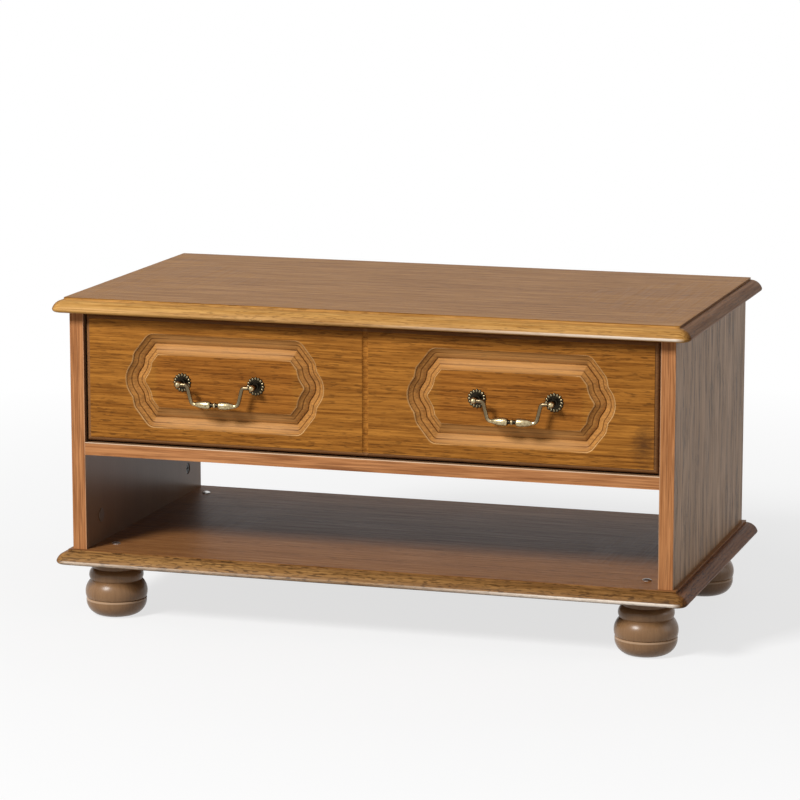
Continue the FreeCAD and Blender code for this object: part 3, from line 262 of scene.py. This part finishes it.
baseLook = {
    **mouldingLook,
    "board": "base_board",
    "face": {**topLook["face"], "light": (0.38, 0.173, 0.058), "middle": (0.30, 0.127, 0.042),
             "dark": (0.21, 0.082, 0.025)},
    # the moulded edge is paler than the face, partly a painted sheen on its nose
    "edge": {**oak, "light": (0.48, 0.262, 0.090), "middle": (0.34, 0.172, 0.056),
             "dark": (0.20, 0.092, 0.026), "pore": (0.060, 0.026, 0.010),
             "poreDepth": 0.85, "poreRun": 90.0, "poreAcross": 560.0, "poreEdge": 0.53},
    "endPaintedShade": (0.66, 0.43, 0.13), "rightwardDarkening": (0.68, 0.62, 0.57),
    "paintedHighlight": (0.92, 0.79, 0.66), "highlightLow": 0.0016, "highlightHigh": 0.0048,
    "highlightLeft": 0.55, "highlightMiddle": 0.08, "highlightRight": 1.0, "highlightFull": 0.26,
}


def highlightLine(tree, spot, low, high, pores, look):
    # the painted highlight runs only along the front, short of the corners, with its own strength on the
    # left, middle and right
    inPaintedBand = between(tree, spot["Z"], low.z + look["highlightLow"], low.z + look["highlightHigh"], look["highlightSoft"])
    atFront = ramp(tree, spot["Y"], low.y + look["highlightBack"], low.y + look["highlightFront"])
    offCorner = ramp(tree, absolute(tree, spot["X"]), high.x - look["highlightCorner"], high.x - look["highlightClear"])
    onLeft = ramp(tree, spot["X"], low.x, 0.0, look["highlightLeft"], look["highlightMiddle"])
    onRight = ramp(tree, spot["X"], 0.0, look["highlightFull"], 0.0, look["highlightRight"] - look["highlightMiddle"])
    strength = maths(tree, "ADD", onLeft, onRight)
    broken = ramp(tree, pores, 0.0, look["highlightPore"], 1.0, look["highlightOverPore"])
    return times(tree, inPaintedBand, atFront, offCorner, strength, broken)


def mouldedBoard(look):
    low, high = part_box(look["board"])
    material, tree, shader = newMaterial(look["board"] + "Oak")
    place = objectPlace(tree)
    spot = split(tree, place)
    # the end mouldings run front to back, so their grain is read with X and Y exchanged
    across = minus(tree, absolute(tree, spot["X"]), absolute(tree, spot["Y"]))
    mitre = high.x - high.y
    isEnd = ramp(tree, across, mitre - look["mitreSoft"], mitre + look["mitreSoft"])
    turned = addNode(tree, "ShaderNodeCombineXYZ")
    for socket, item in (("X", spot["Y"]), ("Y", spot["X"]), ("Z", spot["Z"])):
        plug(tree, item, turned.inputs[socket])
    edgePlace = mix(tree, isEnd, place, turned.outputs["Vector"], kind="VECTOR")
    edgeLayers = oakLayers(tree, edgePlace, look["edge"])
    colour = oakColour(tree, edgeLayers, look["edge"])
    # the end mouldings get a painted shade, which comes in gradually as the corners are eased
    endPaintedShadeMask = ramp(tree, across, mitre - look["easeBefore"], mitre + look["easeAfter"])
    colour = mix(tree, endPaintedShadeMask, colour, look["endPaintedShade"], blend="MULTIPLY")
    # darker towards the right end
    towardsRight = ramp(tree, spot["X"], low.x / 2, high.x)
    colour = mix(tree, towardsRight, colour, look["rightwardDarkening"], blend="MULTIPLY")
    highlighted = highlightLine(tree, spot, low, high, edgeLayers["pores"], look)
    colour = mix(tree, highlighted, colour, look["paintedHighlight"])
    faceColour = oakColour(tree, oakLayers(tree, place, look["face"]), look["face"])
    onFace = ramp(tree, spot["Z"], high.z - look["faceStart"], high.z - look["faceStop"])
    plug(tree, mix(tree, onFace, colour, faceColour), shader.inputs["Base Color"])
    oakVarnish(tree, shader, edgeLayers, look["face"])
    return material


for look in (topLook, baseLook):
    dress(mouldedBoard(look), [look["board"]])
print("top and base boards finished")


# side panels: rows of fine open pores outside, plain foil inside

sideLook = {
    "outer": {**oak, "axis": "z", "light": (0.44, 0.256, 0.130), "middle": (0.36, 0.200, 0.096),
              "dark": (0.26, 0.140, 0.060), "band": (0.62, 0.58, 0.53), "pore": (0.060, 0.031, 0.009),
              "wander": 0.030, "wanderRun": 5.0, "wanderAcross": 12.0,
              "streakRun": 6.0, "streakAcross": 210.0,
              "bandRun": 8.0, "bandAcross": 80.0, "bandDepth": 0.8,
              "crowdLow": 0.44, "crowdHigh": 0.58, "crowdLeast": 0.12,
              "poreRun": 38.0, "poreAcross": 850.0, "poreEdge": 0.46, "poreSoft": 0.12, "poreDepth": 0.82,
              "bump": 0.35, "gloss": 0.14, "rough": 0.45},
    "inner": {**oak, "axis": "z", "light": (0.34, 0.195, 0.105), "middle": (0.285, 0.158, 0.083),
              "dark": (0.225, 0.120, 0.060), "poreDepth": 0.12, "evenness": 0.85, "bandDepth": 0.3,
              "bump": 0.1, "rough": 0.28},
    "skin": 0.0006, "sheen": 0.05, "plainStreak": 0.5,
}


def sidePanel(look):
    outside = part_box("side_panel_right")[1].x
    material, tree, shader = newMaterial("sidePanelOak")
    place = objectPlace(tree)
    outer = oakLayers(tree, place, look["outer"])
    inner = oakLayers(tree, place, look["inner"])
    reach = absolute(tree, split(tree, place)["X"])
    isOuter = ramp(tree, reach, outside - 2 * look["skin"], outside - look["skin"])
    innerColour = oakColour(tree, inner, look["inner"])
    outerColour = oakColour(tree, outer, look["outer"])
    plug(tree, mix(tree, isOuter, innerColour, outerColour), shader.inputs["Base Color"])
    # the open grain lies only on the outer face
    outer["pores"] = times(tree, outer["pores"], isOuter)
    outer["streaks"] = mix(tree, isOuter, look["plainStreak"], outer["streaks"], kind="FLOAT")
    oakRelief(tree, shader, outer, look["outer"])
    sheen = ramp(tree, outer["streaks"], *look["outer"]["sheenRange"], look["sheen"], -look["sheen"])
    rough = fade(tree, isOuter, look["inner"]["rough"], look["outer"]["rough"])
    plug(tree, maths(tree, "ADD", sheen, rough), shader.inputs["Roughness"])
    return material


dress(sidePanel(sideLook), ["side_panel_left", "side_panel_right"])

innerLook = {**sideLook["inner"], "axis": "x"}
dress(plainOak("innerBoardOak", innerLook), ["middle_board"])

backLook = {
    "light": (0.46, 0.245, 0.105), "middle": (0.37, 0.190, 0.078), "dark": (0.27, 0.130, 0.048),
    "bump": 0.15, "rough": 0.48,
}
dress(plainOak("backBoardOak", backLook), ["back_board"])

# edge bands: redder oak, with a painted highlight on the arris beside the drawer
bandLook = {
    "light": (0.64, 0.290, 0.115), "middle": (0.49, 0.210, 0.080), "dark": (0.35, 0.134, 0.046),
    "band": (0.86, 0.80, 0.76), "pore": (0.16, 0.060, 0.024), "streakAcross": 420.0,
    "poreRun": 14.0, "poreAcross": 520.0, "poreEdge": 0.54, "rough": 0.45,
    "paintedHighlight": (0.95, 0.72, 0.50), "highlightWide": 0.0012, "highlightSoft": 0.0006,
    "uprightShare": 0.18, "middleShare": 0.75,
}


# a painted highlight along the arris, fading away from it
def arris(tree, inward, look, share):
    return ramp(tree, inward, look["highlightWide"], look["highlightWide"] - look["highlightSoft"], 0.0, share)


def uprightArris(tree, spot, look):
    inward = minus(tree, absolute(tree, spot["X"]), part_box("edge_band_right")[0].x)
    return arris(tree, inward, look, look["uprightShare"])


def middleArris(tree, spot, look):
    inward = minus(tree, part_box("edge_band_middle")[1].z, spot["Z"])
    return arris(tree, inward, look, look["middleShare"])


uprightBand = highlightedOak("uprightBandOak", {**bandLook, "axis": "z"}, uprightArris)
dress(uprightBand, ["edge_band_left", "edge_band_right"])
dress(highlightedOak("middleBandOak", bandLook, middleArris), ["edge_band_middle"])
print("sides, inside boards and edge bands finished")


# drawer front: honey oak with a brown rim, pale routed channels with a painted sheen, painted highlights on
# their edges and painted shade in their creases, a knot low on the right
# start and stop are depths behind the face, and runs are the straight stretches of a routed panel

frontLook = {
    "oak": {**oak, "wander": 0.010},
    "panel": {"half": (0.133, 0.062), "soft": 0.0005, "runReach": 0.070, "endReach": 0.098},
    "field": {"half": (0.086, 0.030), "soft": 0.006, "shade": (0.93, 0.87, 0.86)},
    "rim": {"colour": (0.20, 0.105, 0.055), "share": 0.65, "start": 0.0003, "stop": 0.0194, "soft": 0.0002,
            "borderStart": 0.0060, "borderStop": 0.0050, "fluteStart": 0.020, "fluteStop": 0.022},
    # paler routed wood, with a painted sheen added on the straight runs
    "routed": {"colour": (0.73, 0.390, 0.142), "runShare": 0.45, "endShare": 0.26,
               "start": 0.0012, "stop": 0.0100, "soft": 0.0003},
    # a painted highlight on the channel's lips
    "lip": {"colour": (0.80, 0.48, 0.20), "runShare": 0.2, "endShare": 0.7,
            "start": 0.0002, "stop": 0.0010, "soft": 0.0001},
    # painted shade: thin dark lines at these depths in the channel's creases and valley
    "creaseShades": [{"start": 0.0012, "stop": 0.0015, "soft": 0.0002, "shade": (0.36, 0.31, 0.27)},
              {"start": 0.0047, "stop": 0.0051, "soft": 0.0002, "shade": (0.38, 0.33, 0.29)},
              {"start": 0.0086, "stop": 0.0100, "soft": 0.0004, "shade": (0.32, 0.27, 0.23)}],
    "creaseShadeRun": 0.4,
    # a painted highlight on the edges that stick out
    "edgeHighlight": {"colour": (0.86, 0.55, 0.25), "runShare": 0.12, "endShare": 0.65,
             "reach": 0.0016, "faint": 0.05, "full": 0.20,
             "patchScale": 60.0, "patchRange": (0.35, 0.6), "patchLeast": 0.35},
    "knot": {"centre": (0.347, 0.0, 0.263), "spread": (0.017, 1.0, 0.027), "colour": (0.085, 0.034, 0.012),
             "share": 0.85, "grain": (70.0, 70.0, 330.0), "tear": 2.2, "outer": 0.05, "inner": -1.05},
}


def highlightedEdges(tree, place, atEnd, edgeHighlight):
    # a painted highlight on edges that stick out, more on the waved ends than along the runs, and broken up
    # along the edge
    edges = addNode(tree, "ShaderNodeAmbientOcclusion", inside=True, only_local=True, samples=16)
    edges.inputs["Distance"].default_value = edgeHighlight["reach"]
    highlighted = ramp(tree, edges.outputs["AO"], 1.0 - edgeHighlight["faint"], 1.0 - edgeHighlight["full"])
    patchy = cloud(tree, place, edgeHighlight["patchScale"])
    broken = ramp(tree, patchy, *edgeHighlight["patchRange"], edgeHighlight["patchLeast"], 1.0)
    return times(tree, highlighted, fade(tree, atEnd, edgeHighlight["runShare"], edgeHighlight["endShare"]), broken)


def knotShade(tree, place, knot):
    mapping = addNode(tree, "ShaderNodeMapping", vector_type="TEXTURE")
    mapping.inputs["Location"].default_value = knot["centre"]
    mapping.inputs["Scale"].default_value = knot["spread"]
    plug(tree, place, mapping.inputs["Vector"])
    reach = length(tree, vectorMaths(tree, "MULTIPLY", mapping.outputs["Vector"], (1.0, 0.0, 1.0)))
    torn = noise(tree, place, knot["grain"], detail=5.0, roughness=0.7)["Fac"]
    ragged = minus(tree, reach, times(tree, torn, knot["tear"]))
    return ramp(tree, ragged, knot["outer"], knot["inner"], 0.0, knot["share"])


def drawerFace(look):
    material, tree, shader = newMaterial("drawerFrontOak")
    place = objectPlace(tree)
    layers = oakLayers(tree, place, look["oak"])
    colour = oakColour(tree, layers, look["oak"])
    low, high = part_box("drawer_front")
    spot = split(tree, place)
    depth = minus(tree, spot["Y"], low.y)
    aside = absolute(tree, spot["X"])
    sideways = minus(tree, aside, high.x / 2)  # from the middle of the nearest panel
    upward = minus(tree, spot["Z"], (low.z + high.z) / 2)

    def within(part):
        acrossHalf, upHalf = part["half"]
        across = between(tree, sideways, -acrossHalf, acrossHalf, part["soft"])
        return times(tree, across, between(tree, upward, -upHalf, upHalf, part["soft"]))

    def band(part):
        return between(tree, depth, part["start"], part["stop"], part["soft"])

    panel, field, rim, edgeHighlight, knot = (look[key] for key in ("panel", "field", "rim", "edgeHighlight", "knot"))
    inPanel = within(panel)
    # the rolled rim of the front is browner, the flute in its middle isn't
    halfTall = (high.z - low.z) / 2
    offMiddle = absolute(tree, upward)
    atBorder = ramp(tree, offMiddle, halfTall - rim["borderStart"], halfTall - rim["borderStop"])
    offFlute = maths(tree, "MAXIMUM", ramp(tree, aside, rim["fluteStart"], rim["fluteStop"]), atBorder)
    outside = times(tree, minus(tree, 1.0, inPanel), offFlute)
    stained = times(tree, band(rim), times(tree, outside, rim["share"]))
    colour = mix(tree, stained, colour, rim["colour"])
    colour = mix(tree, within(field), colour, field["shade"], blend="MULTIPLY")
    # the routed channel is paler, with a painted sheen on the straight runs, and painted shade darkens thin
    # lines in its creases and valley
    atEnd = ramp(tree, absolute(tree, sideways), panel["runReach"], panel["endReach"])
    for part in (look["routed"], look["lip"]):
        share = fade(tree, atEnd, part["runShare"], part["endShare"])
        colour = mix(tree, times(tree, band(part), share, inPanel), colour, part["colour"])
    inPaintedBand = times(tree, inPanel, fade(tree, atEnd, look["creaseShadeRun"], 1.0))
    for part in look["creaseShades"]:
        colour = mix(tree, times(tree, band(part), inPaintedBand), colour, part["shade"], blend="MULTIPLY")
    highlighted = times(tree, highlightedEdges(tree, place, atEnd, edgeHighlight), inPanel)
    colour = mix(tree, highlighted, colour, edgeHighlight["colour"])
    colour = mix(tree, knotShade(tree, place, knot), colour, knot["colour"])
    plug(tree, colour, shader.inputs["Base Color"])
    oakVarnish(tree, shader, layers, look["oak"])
    return material


dress(drawerFace(frontLook), ["drawer_front"])
print("drawer front finished")


# turned feet: stained a little greyer, satin, with a painted highlight on the lower lip of the groove

footLook = {
    "light": (0.350, 0.195, 0.090), "middle": (0.270, 0.146, 0.066), "dark": (0.190, 0.097, 0.042),
    "band": (0.86, 0.82, 0.78), "pore": (0.070, 0.036, 0.020), "axis": "z", "poreDepth": 0.12,
    "streakAcross": 260.0, "streakRun": 6.0, "evenness": 0.7, "rough": 0.30, "gloss": 0.35, "bump": 0.05,
    "paintedHighlight": (0.62, 0.42, 0.27), "highlightStart": 0.0200, "highlightStop": 0.0217, "highlightSoft": 0.0006, "highlightShare": 0.6,
}


def grooveLipHighlight(tree, spot, look):
    # a painted highlight on the lower lip of the groove
    highlighted = between(tree, spot["Z"], look["highlightStart"], look["highlightStop"], look["highlightSoft"])
    return times(tree, highlighted, look["highlightShare"])


footNames = [name for name in nodes if name.startswith("foot_") and name != "foot_bolts"]
dress(highlightedOak("turnedFootWood", footLook, grooveLipHighlight), footNames)

# drawer box and dowels: pale raw wood
rawWood = {
    "light": (0.62, 0.44, 0.26), "middle": (0.56, 0.38, 0.21), "dark": (0.46, 0.29, 0.15),
    "band": (0.9, 0.86, 0.82), "pore": (0.32, 0.20, 0.10), "rough": 0.55, "poreDepth": 0.35, "gloss": 0.2,
}
dress(plainOak("drawerSideWood", {**rawWood, "axis": "y"}), ["drawer_side_left", "drawer_side_right"])
dress(plainOak("drawerPanelWood", rawWood), ["drawer_back", "drawer_bottom"])
dress(plainOak("dowelWood", rawWood), ["carcass_dowels", "drawer_dowels"])
print("feet and drawer box finished")


# antique brass: dark in the hollows, rubbed bright on what a hand touches

brassLook = {
    "bright": (0.60, 0.49, 0.29), "dull": (0.25, 0.185, 0.092), "dark": (0.026, 0.021, 0.014),
    "patinaScale": 420.0, "patinaRange": (0.35, 0.65), "bump": 0.08, "bumpDistance": 0.0002,
    "roughRange": (0.3, 0.7), "roughLow": 0.20, "roughHigh": 0.36,
    "beadStart": 0.0075, "beadSoft": 0.0004, "beadProud": 0.0013, "beadRise": 0.0003, "beadShare": 0.6,
    "postDark": 0.0105, "postSoft": 0.0025,
    "neckStart": 0.0018, "neckStop": 0.0050, "neckSoft": 0.0006,
    "arm": (0.125, 0.090, 0.050), "armStart": 0.026, "armStop": 0.032, "armShare": 0.85,
}


def brassBase(name, look):
    material, tree, shader = newMaterial(name)
    place = objectPlace(tree)
    patina = cloud(tree, place, look["patinaScale"], detail=4.0, roughness=0.6)
    worn = mix(tree, ramp(tree, patina, *look["patinaRange"]), look["bright"], look["dull"])
    shader.inputs["Metallic"].default_value = 1.0
    rough = ramp(tree, patina, *look["roughRange"], look["roughLow"], look["roughHigh"])
    plug(tree, rough, shader.inputs["Roughness"])
    bumped(tree, shader, patina, look["bump"], look["bumpDistance"])
    return material, tree, shader, place, worn


def boxMiddle(name):
    low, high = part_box(name)
    return (low + high) / 2


rosetteOut = boxMiddle("right_handle_rosette_right")
rosetteIn = boxMiddle("right_handle_rosette_left")
pullMiddle = (rosetteOut.x + rosetteIn.x) / 2  # from the middle of the drawer to the middle of a pull
pullHalf = (rosetteOut.x - rosetteIn.x) / 2    # from the middle of a pull to its rosette
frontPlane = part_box("right_handle_rosette_right")[1].y


def fromPull(tree, spot):
    # sideways distance from the middle of the nearest pull
    return absolute(tree, minus(tree, absolute(tree, spot["X"]), pullMiddle))


def rosetteBrass(look):
    material, tree, shader, place, worn = brassBase("rosetteBrass", look)
    spot = split(tree, place)
    sideways = minus(tree, fromPull(tree, spot), pullHalf)
    upward = minus(tree, spot["Z"], rosetteOut.z)
    square = maths(tree, "ADD", times(tree, sideways, sideways), times(tree, upward, upward))
    reach = maths(tree, "SQRT", square)
    proud = minus(tree, frontPlane, spot["Y"])
    inRing = ramp(tree, reach, look["beadStart"] - look["beadSoft"], look["beadStart"])
    isProud = ramp(tree, proud, look["beadProud"], look["beadProud"] + look["beadRise"])
    isBead = times(tree, inRing, isProud, look["beadShare"])
    plug(tree, mix(tree, isBead, look["dark"], worn), shader.inputs["Base Color"])
    return material


def postBrass(look):
    material, tree, shader, place, worn = brassBase("postBrass", look)
    proud = minus(tree, frontPlane, split(tree, place)["Y"])
    isBall = ramp(tree, proud, look["postDark"], look["postDark"] + look["postSoft"])
    plug(tree, mix(tree, isBall, look["dark"], worn), shader.inputs["Base Color"])
    return material


def bailBrass(look):
    material, tree, shader, place, worn = brassBase("bailBrass", look)
    sideways = fromPull(tree, split(tree, place))
    isNeck = between(tree, sideways, look["neckStart"], look["neckStop"], look["neckSoft"])
    isArm = ramp(tree, sideways, look["armStart"], look["armStop"], 0.0, look["armShare"])
    colour = mix(tree, isArm, worn, look["arm"])
    plug(tree, mix(tree, isNeck, colour, look["dark"]), shader.inputs["Base Color"])
    return material


dress(rosetteBrass(brassLook), [name for name in nodes if "_rosette_" in name])
dress(postBrass(brassLook), [name for name in nodes if "_handle_post_" in name])
dress(bailBrass(brassLook), [name for name in nodes if name.endswith("_bail")])
print("handles finished")


# fittings: steel, zinc, paint and plastics, each a little mottled

mottleLook = {"range": (0.3, 0.7), "roughDown": 0.05, "roughUp": 0.07, "bumpDistance": 0.0002}
fittingLook = {
    "brightSteel": {"colour": (0.80, 0.79, 0.77), "shade": (0.56, 0.55, 0.54),
                    "rough": 0.30, "metal": 1.0, "scale": 260.0, "bump": 0.03},
    "dullZinc": {"colour": (0.16, 0.155, 0.15), "shade": (0.09, 0.088, 0.085),
                 "rough": 0.5, "metal": 1.0, "scale": 320.0, "bump": 0.06},
    "runnerPaint": {"colour": (0.74, 0.73, 0.69), "shade": (0.68, 0.67, 0.63),
                    "rough": 0.4, "metal": 0.0, "scale": 900.0, "bump": 0.05},
    "coverPlastic": {"colour": (0.20, 0.115, 0.062), "shade": (0.16, 0.090, 0.048),
                     "rough": 0.35, "metal": 0.0, "scale": 900.0, "bump": 0.05},
    "rollerNylon": {"colour": (0.78, 0.78, 0.75), "shade": (0.70, 0.70, 0.67),
                    "rough": 0.5, "metal": 0.0, "scale": 900.0, "bump": 0.04},
}
fittingNames = {
    "brightSteel": ["foot_bolts", "handle_screws", "lower_cam_bolts", "upper_cam_bolts", "middle_cam_bolts",
                    "cabinet_runner_screws", "drawer_runner_screws",
                    "cabinet_roller_rivets", "drawer_roller_rivets"],
    "dullZinc": ["lower_cams", "upper_cams", "middle_cams"],
    "runnerPaint": [name for name in nodes if "_runner_left" in name or "_runner_right" in name],
    "coverPlastic": ["cam_covers"],
    "rollerNylon": [name for name in nodes if "_roller_left" in name or "_roller_right" in name],
}


def fitting(name, look):
    material, tree, shader = newMaterial(name)
    mottle = cloud(tree, objectPlace(tree), look["scale"], detail=4.0)
    colour = mix(tree, ramp(tree, mottle, *mottleLook["range"]), look["shade"], look["colour"])
    plug(tree, colour, shader.inputs["Base Color"])
    smooth = look["rough"] - mottleLook["roughDown"]
    coarse = look["rough"] + mottleLook["roughUp"]
    plug(tree, ramp(tree, mottle, *mottleLook["range"], smooth, coarse), shader.inputs["Roughness"])
    shader.inputs["Metallic"].default_value = look["metal"]
    bumped(tree, shader, mottle, look["bump"], mottleLook["bumpDistance"])
    return material


for finish, look in fittingLook.items():
    dress(fitting(finish, look), fittingNames[finish])
print("finishes on", len(dressed), "of", len(nodes), "nodes; bare:", sorted(set(nodes) - dressed))


# camera at the photograph's angle

cameraLook = {
    "place": (1.2459, -4.0951, 1.0402), "yaw": 17.158, "pitch": 10.269,
    "lens": 153.84, "sensor": 36.0, "clip": (0.1, 60.0),
}
camera = bpy.data.objects.new("camera", bpy.data.cameras.new("camera"))
camera.data.sensor_width = cameraLook["sensor"]
camera.data.lens = cameraLook["lens"]
camera.data.clip_start, camera.data.clip_end = cameraLook["clip"]
camera.location = cameraLook["place"]
camera.rotation_euler = (math.radians(90 - cameraLook["pitch"]), 0.0, math.radians(cameraLook["yaw"]))
bpy.context.scene.collection.objects.link(camera)
bpy.context.scene.camera = camera


# one soft key from the upper left, a weak fill for the right-hand end

lampTarget = Vector((0.0, 0.0, 0.25))
lampLook = {
    "keyLamp": {"place": (-2.45, -4.45, 4.00), "size": (1.5, 1.5), "power": 378.0},
    "fillLamp": {"place": (2.70, 0.25, 0.90), "size": (1.4, 1.2), "power": 8.0},
}
for name, look in lampLook.items():
    lamp = bpy.data.objects.new(name, bpy.data.lights.new(name, "AREA"))
    lamp.data.shape = "RECTANGLE"
    lamp.data.size, lamp.data.size_y = look["size"]
    lamp.data.energy = look["power"]
    lamp.location = look["place"]
    lamp.rotation_euler = (lampTarget - Vector(look["place"])).to_track_quat("-Z", "Y").to_euler()
    bpy.context.scene.collection.objects.link(lamp)


# white ground: the floor keeps the shadow near the table and fades to plain white further out

studioLook = {
    "ambient": 0.20, "matt": 0.42, "seenMatt": 0.90,
    "floorHalf": 14.0, "nearShare": 0.72, "nearReach": 0.55, "farReach": 1.7,
}


def seenWhite(tree):
    # 1 for camera, glossy and see-through rays, so that the ground shows white there
    path = addNode(tree, "ShaderNodeLightPath")
    total = maths(tree, "MAXIMUM", path.outputs["Is Camera Ray"], path.outputs["Is Glossy Ray"])
    return maths(tree, "MAXIMUM", total, path.outputs["Is Transmission Ray"])


def lightWorld(look):
    world = bpy.data.worlds.new("studio")
    bpy.context.scene.world = world
    world.use_nodes = True
    tree = world.node_tree
    tree.nodes.clear()
    glow = addNode(tree, "ShaderNodeBackground")
    glow.inputs["Color"].default_value = (1.0, 1.0, 1.0, 1.0)
    plug(tree, fade(tree, seenWhite(tree), look["ambient"], 1.0), glow.inputs["Strength"])
    plug(tree, glow.outputs["Background"], addNode(tree, "ShaderNodeOutputWorld").inputs["Surface"])


def paintFloor(look):
    paint = bpy.data.materials.new("floorPaint")
    paint.use_nodes = True
    tree = paint.node_tree
    tree.nodes.clear()
    matt = addNode(tree, "ShaderNodeBsdfDiffuse")
    grey = fade(tree, seenWhite(tree), look["matt"], look["seenMatt"])
    tint = addNode(tree, "ShaderNodeCombineColor")
    for channel in ("Red", "Green", "Blue"):
        plug(tree, grey, tint.inputs[channel])
    plug(tree, tint.outputs["Color"], matt.inputs["Color"])
    white = addNode(tree, "ShaderNodeEmission")
    white.inputs["Strength"].default_value = 1.0
    away = length(tree, objectPlace(tree))
    share = ramp(tree, away, look["nearReach"], look["farReach"], look["nearShare"], 1.0)
    blend = addNode(tree, "ShaderNodeMixShader")
    plug(tree, times(tree, seenWhite(tree), share), blend.inputs["Fac"])
    plug(tree, matt.outputs["BSDF"], blend.inputs[1])
    plug(tree, white.outputs["Emission"], blend.inputs[2])
    plug(tree, blend.outputs["Shader"], addNode(tree, "ShaderNodeOutputMaterial").inputs["Surface"])
    return paint


lightWorld(studioLook)
floorMesh = bpy.data.meshes.new("floor")
floorShape = bmesh.new()
bmesh.ops.create_grid(floorShape, x_segments=1, y_segments=1, size=studioLook["floorHalf"])
floorShape.to_mesh(floorMesh)
floorShape.free()
floor = bpy.data.objects.new("floor", floorMesh)
bpy.context.scene.collection.objects.link(floor)
floorMesh.materials.append(paintFloor(studioLook))
bpy.context.scene.view_settings.view_transform = "Standard"
print("camera, lamps and floor set")
